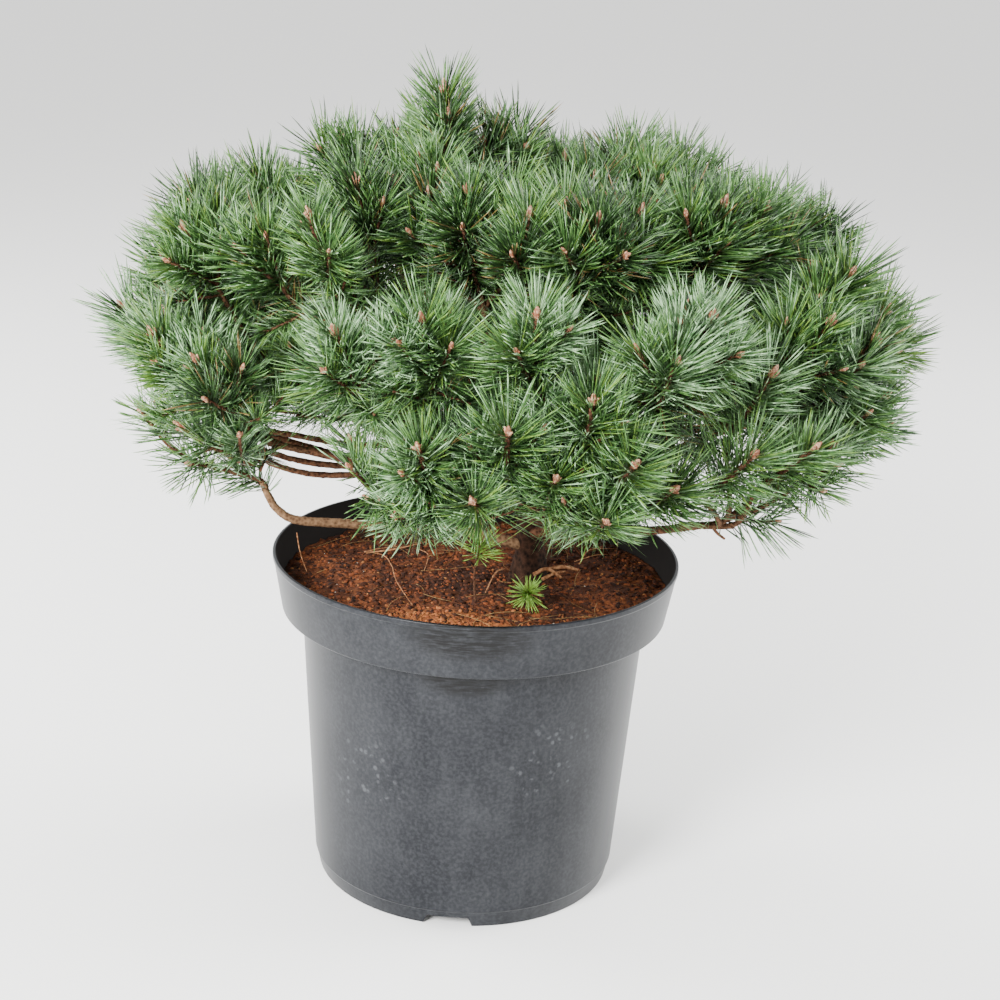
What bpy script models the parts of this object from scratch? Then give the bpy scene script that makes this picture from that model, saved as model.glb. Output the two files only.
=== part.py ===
"""Potted dwarf Scots pine: a broad, low crown on a short leaning trunk, in a black nursery pot.

Metres, +Z up, origin at the middle of the pot's flat underside. The front of the plant looks
along -Y. Azimuths are in degrees from +X towards +Y, elevations in degrees above the level.
"""
import math
import random

import bmesh
import bpy
from mathutils import Matrix, Vector

# Pot, a 25 litre container 36 cm across its rim.
POT_HEIGHT = 0.300
RIM_RADIUS = 0.180
COLLAR_HEIGHT = 0.050
COLLAR_FOOT_RADIUS = 0.171
BODY_TOP_RADIUS = 0.153
LEDGE_RADIUS = 0.137
LEDGE_HEIGHT = 0.0155
FOOT_RADIUS = 0.133
WALL = 0.0022
LIP_HEIGHT = 0.004
LIP_STEP = 0.001
SHOULDER_DROP = 0.0015
FLOOR_UNDERSIDE = 0.010
FLOOR_TOP = 0.0125
FOOT_RING_WIDTH = 0.0028
HUB_RADIUS = 0.035
HUB_DRAFT = 0.003
FLOOR_CHAMFER = 0.003
COLLAR_ROUND = 0.001
LEDGE_ROUND = 0.0008
POT_STEPS = 36
NOTCH_AZIMUTHS = (266, 26, 146)
NOTCH_TOP_WIDTH = 0.036
NOTCH_FOOT_WIDTH = 0.046
NOTCH_HEIGHT = 0.0095
NOTCH_DEPTH = 0.020
NOTCH_OVERCUT = 0.004

# Neighbouring pieces keep this much air between them.
GAP = 0.0003

SOIL_TOP = 0.272
SOIL_CLEARANCE = 2.0 * GAP

# Trunk: it leans to the left and ends in the leader.
TRUNK_FOOT = Vector((0.049, 0.034, SOIL_TOP + GAP))
TRUNK_TIP = Vector((-0.034, 0.000, 0.588))
TRUNK_BOW = Vector((0.010, 0.006, 0.0))
TRUNK_RADIUS = 0.0120
TRUNK_TIP_RADIUS = 0.0032
FLARE_RADIUS = 0.0065
FLARE_HEIGHT = 0.013
TRUNK_LEAN_POWER = 1.25
TRUNK_TAPER_POWER = 0.85
TRUNK_BURIED = 0.006
TRUNK_RINGS = 9
RING_POWER = 1.3
TRUNK_SIDES = 8

# Boughs fan out from the trunk towards this point's surroundings.
FORK = Vector((0.030, 0.010, 0.380))
BOUGH_RADIUS = 0.0052
BOUGH_TIP_RADIUS = 0.0030
BOUGH_POINTS = 5
BOUGH_SIDES = 5
BOUGH_END = 0.010
BOUGH_LEAVE = 0.50
BOUGH_LEAVE_RISE = 0.05
BOUGH_ARRIVE = 0.30
STEM_FLATNESS = 0.35

# Crown: the buds lie on this flattened dome, seen from the fork.
DOME_CENTRE = Vector((0.020, 0.000, 0.450))
DOME_RADIUS_X = 0.325
DOME_RADIUS_Y = 0.295
DOME_RADIUS_Z = 0.198
DOME_SQUARENESS = 2.6
CLUMP_ROUNDING = 0.09
LEADER_ROUNDING = 0.24
REACH_JITTER = 0.03
SHOOTS_ON_SPHERE = 395
TIP_SPACING = 2.0 * math.sqrt(math.pi / SHOOTS_ON_SPHERE)
AXIS_CLEARANCE = 0.7 * TIP_SPACING
STEM_SHARE = 0.60
FORK_SHARE = 0.15
FORK_SPREAD = 0.60
TWIG_LEAVE = 0.40
TWIG_ARRIVE = 0.30
CELL_MARGIN = 0.0012
LIMB_MARGIN = 0.0012

# Shoots: a slim core with needle sprays standing out of it and leaning forward.
SHOOT_LENGTH = 0.062
SHOOT_LIFT = 0.90
FULL_LIFT_ELEVATION = 24
SHORTER_SHARES = (1.0, 0.8, 0.6)
CORE_RADIUS = 0.0090
CORE_INSIDE = 0.6 * CORE_RADIUS
NEEDLE_LENGTH = 0.050
NEEDLE_HALF_WIDTH = 0.001
NEEDLE_SHARES = (1.0, 0.8, 0.6, 0.45)
NEEDLE_LEAN = 48
FRONT_NEEDLE_LEAN = 24
BARE_SHARE = 0.3
FRONT_SHARE = 0.7
TWIG_RADIUS = 0.0026
TWIG_TIP_RADIUS = 0.0019
TWIG_SIDES = 3
TWIG_OVERLAP = 0.12
STEM_RADII = (BOUGH_TIP_RADIUS, 0.0028, 0.0024)

# Sprig: a young tuft that comes up through the soil in front of the trunk.
SPRIG_FOOT = Vector((0.049, -0.040, SOIL_TOP + GAP))
SPRIG_LENGTH = 0.030
SPRIG_CORE_RADIUS = 0.004
SPRIG_NEEDLE_LENGTH = 0.018
SPRIG_BARE_LENGTH = 0.008
SPRIG_RADIUS = 0.0014
SPRIG_TIP_RADIUS = 0.0010
SPRIG_LEAN = Vector((0.05, -0.10, 1.0)).normalized()
SPRIG_CLEARANCE = 0.002

# Each mass: name, azimuth, elevation, reach as a share of the dome, angular spread, where its
# bough ends as a share of the reach, how far the bough's end sags below that line, and the
# height at which the bough leaves the trunk.
MASSES = (
    ("leader", 187, 77, 1.20, 15, 0.62, 0.000, None),
    ("crown_left", 160, 57, 1.05, 17, 0.52, 0.008, 0.488),
    ("crown_front", 250, 62, 1.00, 16, 0.52, 0.008, 0.472),
    ("crown_right", 18, 70, 1.03, 17, 0.52, 0.006, 0.500),
    ("top_front_left", 227, 45, 1.05, 16, 0.54, 0.018, 0.436),
    ("top_front_right", 287, 54, 1.01, 16, 0.54, 0.014, 0.450),
    ("top_right", 334, 50, 1.04, 17, 0.54, 0.016, 0.426),
    ("top_back_left", 124, 43, 1.00, 18, 0.54, 0.018, 0.456),
    ("top_back", 82, 53, 1.00, 18, 0.54, 0.014, 0.440),
    ("top_back_right", 40, 42, 1.00, 18, 0.54, 0.018, 0.414),
    ("upper_right", 9, 39, 1.02, 17, 0.56, 0.022, 0.400),
    ("upper_left", 160, 34, 1.06, 18, 0.56, 0.066, 0.412),
    ("side_left", 191, 39, 1.04, 16, 0.56, 0.076, 0.392),
    ("mid_front_left", 241, 31, 0.98, 13, 0.56, 0.024, 0.408),
    ("mid_front", 272, 36, 1.00, 16, 0.56, 0.020, 0.390),
    ("mid_front_right", 300, 35, 1.02, 17, 0.56, 0.020, 0.378),
    ("mid_right", 334, 27, 1.03, 17, 0.58, 0.026, 0.368),
    ("low_mid_left", 208, 23, 1.01, 14, 0.60, 0.052, 0.376),
    ("mid_back_right", 70, 24, 1.00, 16, 0.60, 0.024, 0.370),
    ("mid_back_left", 107, 24, 1.00, 16, 0.60, 0.024, 0.386),
    ("far_left", 181, 20, 1.03, 15, 0.62, 0.062, 0.360),
    ("far_right", 359, 22, 1.04, 17, 0.62, 0.034, 0.352),
    ("far_back_right", 34, 19, 1.00, 15, 0.60, 0.028, 0.336),
    ("far_back_left", 144, 20, 1.02, 15, 0.62, 0.050, 0.346),
    ("low_front_left", 256, 18, 0.97, 14, 0.58, 0.020, 0.342),
    ("low_front_right", 287, 17, 0.97, 14, 0.58, 0.020, 0.328),
    ("low_right", 317, 16, 1.00, 13, 0.66, 0.060, 0.308),
    ("low_left", 190, 3, 0.95, 11, 0.70, 0.042, 0.294),
)


def remove_scene_objects():
    for leftover in list(bpy.data.objects):
        bpy.data.objects.remove(leftover, do_unlink=True)


def new_collection(name):
    collection = bpy.data.collections.new(name)
    bpy.context.scene.collection.children.link(collection)
    return collection


def plain_material(name, colour, roughness):
    material = bpy.data.materials.new(name)
    material.use_nodes = True
    shader = material.node_tree.nodes["Principled BSDF"]
    shader.inputs["Base Color"].default_value = (*colour, 1.0)
    shader.inputs["Roughness"].default_value = roughness
    shader.inputs["Metallic"].default_value = 0.0
    return material


def mesh_object(name, mesh, collection, material=None):
    thing = bpy.data.objects.new(name, mesh)
    collection.objects.link(thing)
    if material is not None:
        mesh.materials.clear()
        mesh.materials.append(material)
    return thing


def evaluated_mesh(thing, turn_faces_out=False):
    """The object's mesh with its modifiers, or its curve as a mesh with welded caps."""
    bpy.context.view_layer.update()
    mesh = bpy.data.meshes.new_from_object(thing.evaluated_get(bpy.context.evaluated_depsgraph_get()))
    work = bmesh.new()
    work.from_mesh(mesh)
    bmesh.ops.remove_doubles(work, verts=work.verts, dist=1e-6)
    if turn_faces_out:
        bmesh.ops.recalc_face_normals(work, faces=work.faces)
    bmesh.ops.triangulate(work, faces=work.faces)
    work.to_mesh(mesh)
    work.free()
    return mesh


def turned(name, profile, steps, collection, material):
    """A closed solid turned about Z from (radius, height) points, outer side top to bottom."""
    mesh = bpy.data.meshes.new(name)
    mesh.from_pydata([(radius, 0.0, height) for radius, height in profile],
                     [(index, index + 1) for index in range(len(profile) - 1)], [])
    solid = mesh_object(name, mesh, collection, material)
    screw = solid.modifiers.new("turn", "SCREW")
    screw.steps = steps
    screw.render_steps = steps
    screw.use_merge_vertices = True
    screw.merge_threshold = 0.0001
    return solid


def section(sides):
    """A regular outline of unit radius that a tapering limb is swept with, made once."""
    name = f"section_{sides}"
    if name in bpy.data.objects:
        return bpy.data.objects[name]
    outline = bpy.data.curves.new(name, "CURVE")
    outline.dimensions = "2D"
    spline = outline.splines.new("POLY")
    spline.points.add(sides - 1)
    for index, corner in enumerate(spline.points):
        turn = 2.0 * math.pi * index / sides
        corner.co = (math.cos(turn), math.sin(turn), 0.0, 1.0)
    spline.use_cyclic_u = True
    guide = bpy.data.objects.new(name, outline)
    guide.hide_render = True
    guide.display_type = "WIRE"
    bpy.data.collections["cutters"].objects.link(guide)
    return guide


def tube(name, points, radii, sides, collection, material=None):
    """A tapering limb along the points, as a closed mesh."""
    curve = bpy.data.curves.new(name, "CURVE")
    curve.dimensions = "3D"
    curve.bevel_mode = "OBJECT"
    curve.bevel_object = section(sides)
    curve.resolution_u = 1
    curve.render_resolution_u = 0
    curve.use_fill_caps = True
    spline = curve.splines.new("POLY")
    spline.points.add(len(points) - 1)
    for knot, point, radius in zip(spline.points, points, radii):
        knot.co = (*point, 1.0)
        knot.radius = radius
    guide = bpy.data.objects.new(name + "_curve", curve)
    collection.objects.link(guide)
    mesh = evaluated_mesh(guide, turn_faces_out=True)
    bpy.data.objects.remove(guide, do_unlink=True)
    bpy.data.curves.remove(curve)
    return mesh_object(name, mesh, collection, material)


def direction(azimuth, elevation):
    azimuth, elevation = math.radians(azimuth), math.radians(elevation)
    return Vector((math.cos(elevation) * math.cos(azimuth),
                   math.cos(elevation) * math.sin(azimuth),
                   math.sin(elevation)))


def bezier(start, leave, arrive, end, count):
    points = []
    for index in range(count):
        t = index / (count - 1)
        u = 1.0 - t
        points.append(u ** 3 * start + 3 * u * u * t * leave + 3 * u * t * t * arrive + t ** 3 * end)
    return points


def dome_reach(heading):
    """The distance from the fork to the dome of buds along a heading, found by halving."""
    near, far = 0.0, 2.0 * DOME_RADIUS_X
    for _ in range(30):
        middle = (near + far) / 2.0
        place = FORK + heading * middle - DOME_CENTRE
        across = math.hypot(place.x / DOME_RADIUS_X, place.y / DOME_RADIUS_Y)
        if across ** DOME_SQUARENESS + abs(place.z / DOME_RADIUS_Z) ** DOME_SQUARENESS < 1.0:
            near = middle
        else:
            far = middle
    return near


def shoot_aim(heading):
    """Shoots turn up towards the light, least of all on the lowest boughs."""
    elevation = math.degrees(math.asin(heading.z))
    lift = SHOOT_LIFT * min(max(elevation / FULL_LIFT_ELEVATION, 0.0), 1.0)
    return (heading + Vector((0.0, 0.0, lift))).normalized()


def trunk_point(share):
    """A point on the trunk's axis: it starts upright and leans more and more."""
    lean = share ** TRUNK_LEAN_POWER
    point = TRUNK_FOOT.lerp(TRUNK_TIP, lean) + TRUNK_BOW * math.sin(math.pi * share)
    point.z = TRUNK_FOOT.z + (TRUNK_TIP.z - TRUNK_FOOT.z) * share
    return point


def trunk_radius(share):
    height = share * (TRUNK_TIP.z - TRUNK_FOOT.z)
    taper = TRUNK_RADIUS + (TRUNK_TIP_RADIUS - TRUNK_RADIUS) * share ** TRUNK_TAPER_POWER
    return taper + FLARE_RADIUS * math.exp(-height / FLARE_HEIGHT)


def ring_shares():
    """Where the trunk's rings lie along it: closer together in the root flare."""
    return [(index / (TRUNK_RINGS - 1)) ** RING_POWER for index in range(TRUNK_RINGS)]


def trunk_share(height):
    return (height - TRUNK_FOOT.z) / (TRUNK_TIP.z - TRUNK_FOOT.z)


class Mass:
    """Where one mass of foliage lies, how its bough reaches it and which space is its own."""

    def __init__(self, row):
        self.name, azimuth, elevation, self.reach, spread, root_share, sag, self.leaves_trunk = row
        self.heading = direction(azimuth, elevation)
        self.spread = math.radians(spread)
        self.length = dome_reach(self.heading) * self.reach
        flat = Vector((self.heading.x, self.heading.y, 0.0))
        self.root = FORK + self.heading * self.length * root_share
        self.root.z -= sag
        self.stem_heading = (self.heading + flat * STEM_FLATNESS).normalized()
        self.is_leader = self.leaves_trunk is None
        if self.is_leader:
            self.stem_heading = (TRUNK_TIP - trunk_point(ring_shares()[-2])).normalized()
            self.root = TRUNK_TIP + self.stem_heading * GAP
        self.walls = []
        self.tips = []

    def bough_points(self):
        start = trunk_point(trunk_share(self.leaves_trunk))
        flat = Vector((self.root.x - start.x, self.root.y - start.y, 0.0))
        run = flat.length
        out = flat.normalized()
        rise = self.root.z - start.z
        leave = start + out * run * BOUGH_LEAVE + Vector((0.0, 0.0, BOUGH_LEAVE_RISE * rise))
        end = self.root - self.stem_heading * BOUGH_END
        arrive = end - self.stem_heading * run * BOUGH_ARRIVE
        return bezier(start, leave, arrive, end, BOUGH_POINTS) + [self.root]

    def stem_points(self):
        """From the bough's end outward, bending towards the middle of the mass's space."""
        run = STEM_SHARE * (self.length - SHOOT_LENGTH - (self.root - FORK).dot(self.heading))
        half_way = self.root + self.stem_heading * run * 0.5
        return [self.root, half_way, half_way + self.heading * run * 0.5]

    def holds(self, point, margin=CELL_MARGIN):
        """True where a point is inside the mass's own cone of space."""
        return all((point - FORK).dot(wall) > margin for wall in self.walls)


def lay_out_masses():
    masses = [Mass(row) for row in MASSES]
    for one in masses:
        for other in masses:
            if other is not one:
                one.walls.append((one.heading - other.heading).normalized())
    return masses


def spread_tips(masses):
    """Even headings over the sphere by the golden angle; a shoot's middle says whose it is."""
    rng = random.Random(11)
    golden = math.pi * (3.0 - math.sqrt(5.0))
    for mass in masses:
        mass.tips.append((FORK + mass.heading * mass.length, mass.heading, 0.0))
    for index in range(SHOOTS_ON_SPHERE):
        height = 1.0 - 2.0 * (index + 0.5) / SHOOTS_ON_SPHERE
        flat = math.sqrt(1.0 - height * height)
        turn = golden * index
        heading = Vector((flat * math.cos(turn), flat * math.sin(turn), height))
        jitter = rng.uniform(-REACH_JITTER, REACH_JITTER)
        middle = heading * dome_reach(heading) - shoot_aim(heading) * SHOOT_LENGTH / 2.0
        mass = min(masses, key=lambda candidate: middle.angle(candidate.heading))
        off_axis = middle.angle(mass.heading) / mass.spread
        if off_axis > 1.0 or heading.angle(mass.heading) < AXIS_CLEARANCE:
            continue
        rounding = 1.0 - (LEADER_ROUNDING if mass.is_leader else CLUMP_ROUNDING) * off_axis ** 2
        reach = dome_reach(heading) * mass.reach * rounding * (1.0 + jitter)
        mass.tips.append((FORK + heading * reach, heading, off_axis))


class Limbs:
    """The bare limbs as short straight lengths, to keep foliage clear of them."""

    def __init__(self):
        self.lengths = []

    def add(self, points, radii, owner=None):
        for index in range(len(points) - 1):
            radius = max(radii[index], radii[index + 1])
            self.lengths.append((points[index], points[index + 1], radius, owner))

    def touched(self, start, end, thickness, owner):
        """True where a length comes too near a limb that isn't the owner's own stem."""
        return any(segment_distance(start, end, foot, head) < thickness + radius + LIMB_MARGIN
                   for foot, head, radius, whose in self.lengths if whose is not owner)


def segment_distance(start_a, end_a, start_b, end_b):
    """The least distance between two straight lengths."""
    run_a, run_b, between = end_a - start_a, end_b - start_b, start_a - start_b
    aa, bb, ab = run_a.dot(run_a), run_b.dot(run_b), run_a.dot(run_b)
    ad, bd = run_a.dot(between), run_b.dot(between)
    slant = aa * bb - ab * ab
    s = min(max((ab * bd - ad * bb) / slant, 0.0), 1.0) if slant > 1e-12 else 0.0
    t = min(max((ab * s + bd) / bb, 0.0), 1.0)
    s = min(max((ab * t - ad) / aa, 0.0), 1.0)
    return (between + run_a * s - run_b * t).length


def point_distance(point, start, end):
    run = end - start
    share = min(max((point - start).dot(run) / run.dot(run), 0.0), 1.0)
    return (point - start - run * share).length


def shoot_mesh(name, base, tip, aim, core_radius, needle, is_free):
    """A spindle core from base to tip whose faces rise to sprays of needles, where is_free."""
    work = bmesh.new()
    bmesh.ops.create_icosphere(work, subdivisions=1, radius=1.0)
    axis = (tip - base).normalized()
    half = (tip - base).length / 2.0
    middle = (base + tip) / 2.0
    turn = axis.to_track_quat("Z", "Y").to_matrix().to_4x4()
    shape = Matrix.Translation(middle) @ turn @ Matrix.Diagonal((core_radius, core_radius, half, 1.0))
    bmesh.ops.transform(work, matrix=shape, verts=work.verts)
    for face in list(work.faces):
        centre = face.calc_center_median()
        along = (centre - base).dot(axis) / (2.0 * half)
        if along < BARE_SHARE:
            continue
        outward = (centre - base) - axis * (centre - base).dot(axis)
        outward.normalize()
        lean = math.radians(FRONT_NEEDLE_LEAN if along > FRONT_SHARE else NEEDLE_LEAN)
        heading = (outward * math.sin(lean) + (axis + aim).normalized() * math.cos(lean)).normalized()
        for share in NEEDLE_SHARES:
            point = centre + heading * needle * share
            if is_free(centre, point):
                poked = bmesh.ops.poke(work, faces=[face])
                poked["verts"][0].co = point
                break
    mesh = bpy.data.meshes.new(name)
    work.to_mesh(mesh)
    work.free()
    return mesh


def keep_one_shell(mesh):
    """Drops loose scraps and fills sealed hollows: only the largest closed shell stays."""
    work = bmesh.new()
    work.from_mesh(mesh)
    bmesh.ops.remove_doubles(work, verts=work.verts, dist=1e-6)
    bmesh.ops.dissolve_degenerate(work, edges=work.edges, dist=1e-6)
    bmesh.ops.triangulate(work, faces=work.faces)
    unseen = set(work.faces)
    shells = []
    while unseen:
        first = unseen.pop()
        shell, front = [first], [first]
        while front:
            face = front.pop()
            for edge in face.edges:
                for neighbour in edge.link_faces:
                    if neighbour in unseen:
                        unseen.remove(neighbour)
                        shell.append(neighbour)
                        front.append(neighbour)
        shells.append(shell)
    shells.sort(key=len, reverse=True)
    for scrap in shells[1:]:
        bmesh.ops.delete(work, geom=scrap, context="FACES")
    work.to_mesh(mesh)
    work.free()


def join_pieces(name, body, others, collection, material):
    """One Boolean union of the others with the body, applied."""
    union = body.modifiers.new("join", "BOOLEAN")
    union.operation = "UNION"
    union.operand_type = "COLLECTION"
    union.collection = others
    union.solver = "EXACT"
    union.use_self = True
    mesh = evaluated_mesh(body)
    keep_one_shell(mesh)
    for piece in list(others.objects):
        bpy.data.objects.remove(piece, do_unlink=True)
    bpy.data.collections.remove(others)
    bpy.data.objects.remove(body, do_unlink=True)
    mesh.name = name
    return mesh_object(name, mesh, collection, material)


def make_pot(collection, cutters):
    plastic = plain_material("black_plastic", (0.045, 0.047, 0.052), 0.42)
    shoulder = POT_HEIGHT - COLLAR_HEIGHT
    profile = [
        (0.0, FLOOR_TOP),
        (FOOT_RADIUS - WALL, FLOOR_TOP),
        (LEDGE_RADIUS - WALL, LEDGE_HEIGHT + FLOOR_CHAMFER),
        (BODY_TOP_RADIUS - WALL, shoulder + SHOULDER_DROP),
        (COLLAR_FOOT_RADIUS - WALL - COLLAR_ROUND, shoulder + WALL + SHOULDER_DROP),
        (RIM_RADIUS - LIP_STEP - WALL, POT_HEIGHT),
        (RIM_RADIUS, POT_HEIGHT),
        (RIM_RADIUS, POT_HEIGHT - LIP_HEIGHT),
        (RIM_RADIUS - LIP_STEP, POT_HEIGHT - LIP_HEIGHT - LIP_STEP),
        (COLLAR_FOOT_RADIUS, shoulder + COLLAR_ROUND),
        (COLLAR_FOOT_RADIUS - COLLAR_ROUND, shoulder),
        (BODY_TOP_RADIUS, shoulder - SHOULDER_DROP),
        (LEDGE_RADIUS, LEDGE_HEIGHT),
        (LEDGE_RADIUS - LEDGE_ROUND, LEDGE_HEIGHT - LEDGE_ROUND),
        (FOOT_RADIUS, 0.0),
        (FOOT_RADIUS - FOOT_RING_WIDTH, 0.0),
        (FOOT_RADIUS - FOOT_RING_WIDTH, FLOOR_UNDERSIDE),
        (HUB_RADIUS + HUB_DRAFT, FLOOR_UNDERSIDE),
        (HUB_RADIUS, 0.0),
        (0.0, 0.0),
    ]
    pot = turned("pot", profile, POT_STEPS, collection, plastic)
    for index, azimuth in enumerate(NOTCH_AZIMUTHS):
        notch = notch_cutter(f"notch_{index + 1}", azimuth, cutters)
        cut = pot.modifiers.new(notch.name, "BOOLEAN")
        cut.operation = "DIFFERENCE"
        cut.solver = "EXACT"
        cut.object = notch
    return pot


def notch_cutter(name, azimuth, cutters):
    """A drain notch through the foot ring, wider at the ground than at its top."""
    work = bmesh.new()
    bmesh.ops.create_cube(work, size=1.0)
    for corner in work.verts:
        width = NOTCH_TOP_WIDTH if corner.co.z > 0.0 else NOTCH_FOOT_WIDTH
        corner.co.x *= NOTCH_DEPTH
        corner.co.y *= width
        corner.co.z = NOTCH_HEIGHT if corner.co.z > 0.0 else -NOTCH_OVERCUT
    turn = Matrix.Rotation(math.radians(azimuth), 4, "Z")
    bmesh.ops.transform(work, matrix=turn @ Matrix.Translation((FOOT_RADIUS, 0.0, 0.0)), verts=work.verts)
    mesh = bpy.data.meshes.new(name)
    work.to_mesh(mesh)
    work.free()
    cutter = mesh_object(name, mesh, cutters)
    cutter.hide_render = True
    cutter.display_type = "WIRE"
    return cutter


def make_soil(collection):
    """The root ball and its compost, filling the pot's inside up to the soil's level."""
    peat = plain_material("peat_soil", (0.12, 0.055, 0.03), 0.95)
    shoulder = POT_HEIGHT - COLLAR_HEIGHT
    inset = WALL + SOIL_CLEARANCE
    collar_foot = COLLAR_FOOT_RADIUS - COLLAR_ROUND - inset
    up_the_collar = (SOIL_TOP - shoulder) / COLLAR_HEIGHT
    profile = [
        (0.0, SOIL_TOP),
        (collar_foot + (RIM_RADIUS - COLLAR_FOOT_RADIUS) * up_the_collar, SOIL_TOP),
        (collar_foot, shoulder + WALL + SHOULDER_DROP + GAP),
        (BODY_TOP_RADIUS - inset, shoulder + SHOULDER_DROP + GAP),
        (LEDGE_RADIUS - inset, LEDGE_HEIGHT + FLOOR_CHAMFER + GAP),
        (FOOT_RADIUS - inset, FLOOR_TOP + GAP),
        (0.0, FLOOR_TOP + GAP),
    ]
    return turned("soil", profile, POT_STEPS, collection, peat)


def trunk_shape(name, extra, collection, material=None):
    """The trunk, or with some extra radius the cutter that seats the boughs on it."""
    points = [trunk_point(share) for share in ring_shares()]
    radii = [trunk_radius(share) + extra for share in ring_shares()]
    points.insert(0, points[0] - Vector((0.0, 0.0, TRUNK_BURIED)))
    radii.insert(0, radii[0])
    limb = tube(name, points, radii, TRUNK_SIDES, collection, material)
    work = bmesh.new()
    work.from_mesh(limb.data)
    everything = list(work.verts) + list(work.edges) + list(work.faces)
    cut = bmesh.ops.bisect_plane(work, geom=everything, plane_co=TRUNK_FOOT, plane_no=(0, 0, 1),
                                 clear_inner=True)
    rim = [item for item in cut["geom_cut"] if isinstance(item, bmesh.types.BMEdge)]
    bmesh.ops.contextual_create(work, geom=rim)
    bmesh.ops.triangulate(work, faces=work.faces)
    bmesh.ops.recalc_face_normals(work, faces=work.faces)
    work.to_mesh(limb.data)
    work.free()
    return limb, points[1:], radii[1:]


def make_bough(mass, cutter, collection, material, limbs):
    points = mass.bough_points()
    points[-1] = points[-1] - mass.stem_heading * GAP
    radii = [BOUGH_RADIUS + (BOUGH_TIP_RADIUS - BOUGH_RADIUS) * index / (len(points) - 1)
             for index in range(len(points))]
    bough = tube("bough_" + mass.name, points, radii, BOUGH_SIDES, collection, material)
    seat = bough.modifiers.new("seat", "BOOLEAN")
    seat.operation = "DIFFERENCE"
    seat.solver = "EXACT"
    seat.object = cutter
    mesh = evaluated_mesh(bough)
    keep_one_shell(mesh)
    bough.modifiers.clear()
    bough.data = mesh
    limbs.add(points, radii)
    return bough


def make_mass(mass, collection, needles, limbs):
    """The mass's stem, a twig to each shoot and the shoots, joined into one solid."""
    shoots = []
    pieces = bpy.data.collections.new("pieces_" + mass.name)
    bpy.context.scene.collection.children.link(pieces)
    stem_points = mass.stem_points()
    stem = tube("stem", stem_points, STEM_RADII, BOUGH_SIDES, collection)

    for tip, heading, off_axis in mass.tips:
        aim = shoot_aim(heading)
        lengths = [SHOOT_LENGTH * share for share in SHORTER_SHARES
                   if mass.holds(tip - aim * SHOOT_LENGTH * share)]
        if not lengths:
            continue
        base = tip - aim * lengths[0]
        fork = along_stem(stem_points, 1.0 - FORK_SHARE - FORK_SPREAD * off_axis)
        if not mass.holds(tip, CORE_INSIDE):
            continue
        if limbs.touched(base, tip, CORE_RADIUS, mass):
            continue
        reach = (base - fork).length
        leave = fork + mass.heading * reach * TWIG_LEAVE
        path = bezier(fork, leave, base - aim * reach * TWIG_ARRIVE, base, 3)
        path[-1] = base + aim * lengths[0] * TWIG_OVERLAP
        if any(limbs.touched(path[k], path[k + 1], TWIG_RADIUS, mass) for k in range(2)):
            continue
        shoots.append((path, base, tip, aim))

    def is_free(owner, start, end):
        if not mass.holds(end) or limbs.touched(start, end, NEEDLE_HALF_WIDTH, mass):
            return False
        nearest = min(range(len(shoots)),
                      key=lambda k: point_distance(end, shoots[k][1], shoots[k][2]))
        return nearest == owner

    for number, (path, base, tip, aim) in enumerate(shoots):
        tube(f"twig_{number}", path, [TWIG_RADIUS, TWIG_RADIUS, TWIG_TIP_RADIUS], TWIG_SIDES, pieces)
        spray = shoot_mesh(f"shoot_{number}", base, tip, aim, CORE_RADIUS, NEEDLE_LENGTH,
                           lambda start, end, owner=number: is_free(owner, start, end))
        mesh_object(f"shoot_{number}", spray, pieces)
    return join_pieces("mass_" + mass.name, stem, pieces, collection, needles)


def along_stem(points, share):
    """The point at a share of the stem's length from its root."""
    root, half_way, end = points
    return root.lerp(half_way, 2.0 * share) if share < 0.5 else half_way.lerp(end, 2.0 * share - 1.0)


def make_sprig(collection, needles):
    """The young tuft on its own short stem, with its foot flush on the soil."""
    pieces = bpy.data.collections.new("pieces_sprig")
    bpy.context.scene.collection.children.link(pieces)
    base = SPRIG_FOOT + SPRIG_LEAN * SPRIG_BARE_LENGTH
    crown = SPRIG_FOOT + SPRIG_LEAN * SPRIG_LENGTH
    stem = tube("stem", [SPRIG_FOOT, base, crown], [SPRIG_RADIUS, SPRIG_RADIUS, SPRIG_TIP_RADIUS],
                TWIG_SIDES, collection)

    def is_free(start, end):
        return end.z > SOIL_TOP + SPRIG_CLEARANCE

    spray = shoot_mesh("tuft", base, crown, SPRIG_LEAN, SPRIG_CORE_RADIUS, SPRIG_NEEDLE_LENGTH, is_free)
    mesh_object("tuft", spray, pieces)
    return join_pieces("sprig", stem, pieces, collection, needles)


def main():
    remove_scene_objects()
    plant = new_collection("potted_dwarf_scots_pine")
    cutters = new_collection("cutters")
    bark = plain_material("bark", (0.11, 0.065, 0.04), 0.9)
    needles = plain_material("needles", (0.075, 0.16, 0.10), 0.6)
    make_pot(plant, cutters)
    make_soil(plant)
    limbs = Limbs()
    _, points, radii = trunk_shape("trunk", 0.0, plant, bark)
    limbs.add(points, radii)
    seat_cutter, _, _ = trunk_shape("seat_cutter", GAP, cutters)
    seat_cutter.hide_render = True
    seat_cutter.display_type = "WIRE"
    masses = lay_out_masses()
    spread_tips(masses)
    for mass in masses:
        limbs.add(mass.stem_points(), STEM_RADII, mass)
        if not mass.is_leader:
            make_bough(mass, seat_cutter, plant, bark, limbs)
    for mass in masses:
        make_mass(mass, plant, needles, limbs)
    make_sprig(plant, needles)


main()
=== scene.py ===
"""Potted dwarf Scots pine: the visible plant, its compost and its nursery pot.

Metres, +Z up, origin under the middle of the pot, front of the plant towards -Y. The crown grows by
the part's own rule, written again here and carried on to side shoots, needles and buds.
"""
import math
import random

import bmesh
import bpy
import numpy as np
from mathutils import Matrix, Vector, noise


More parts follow.
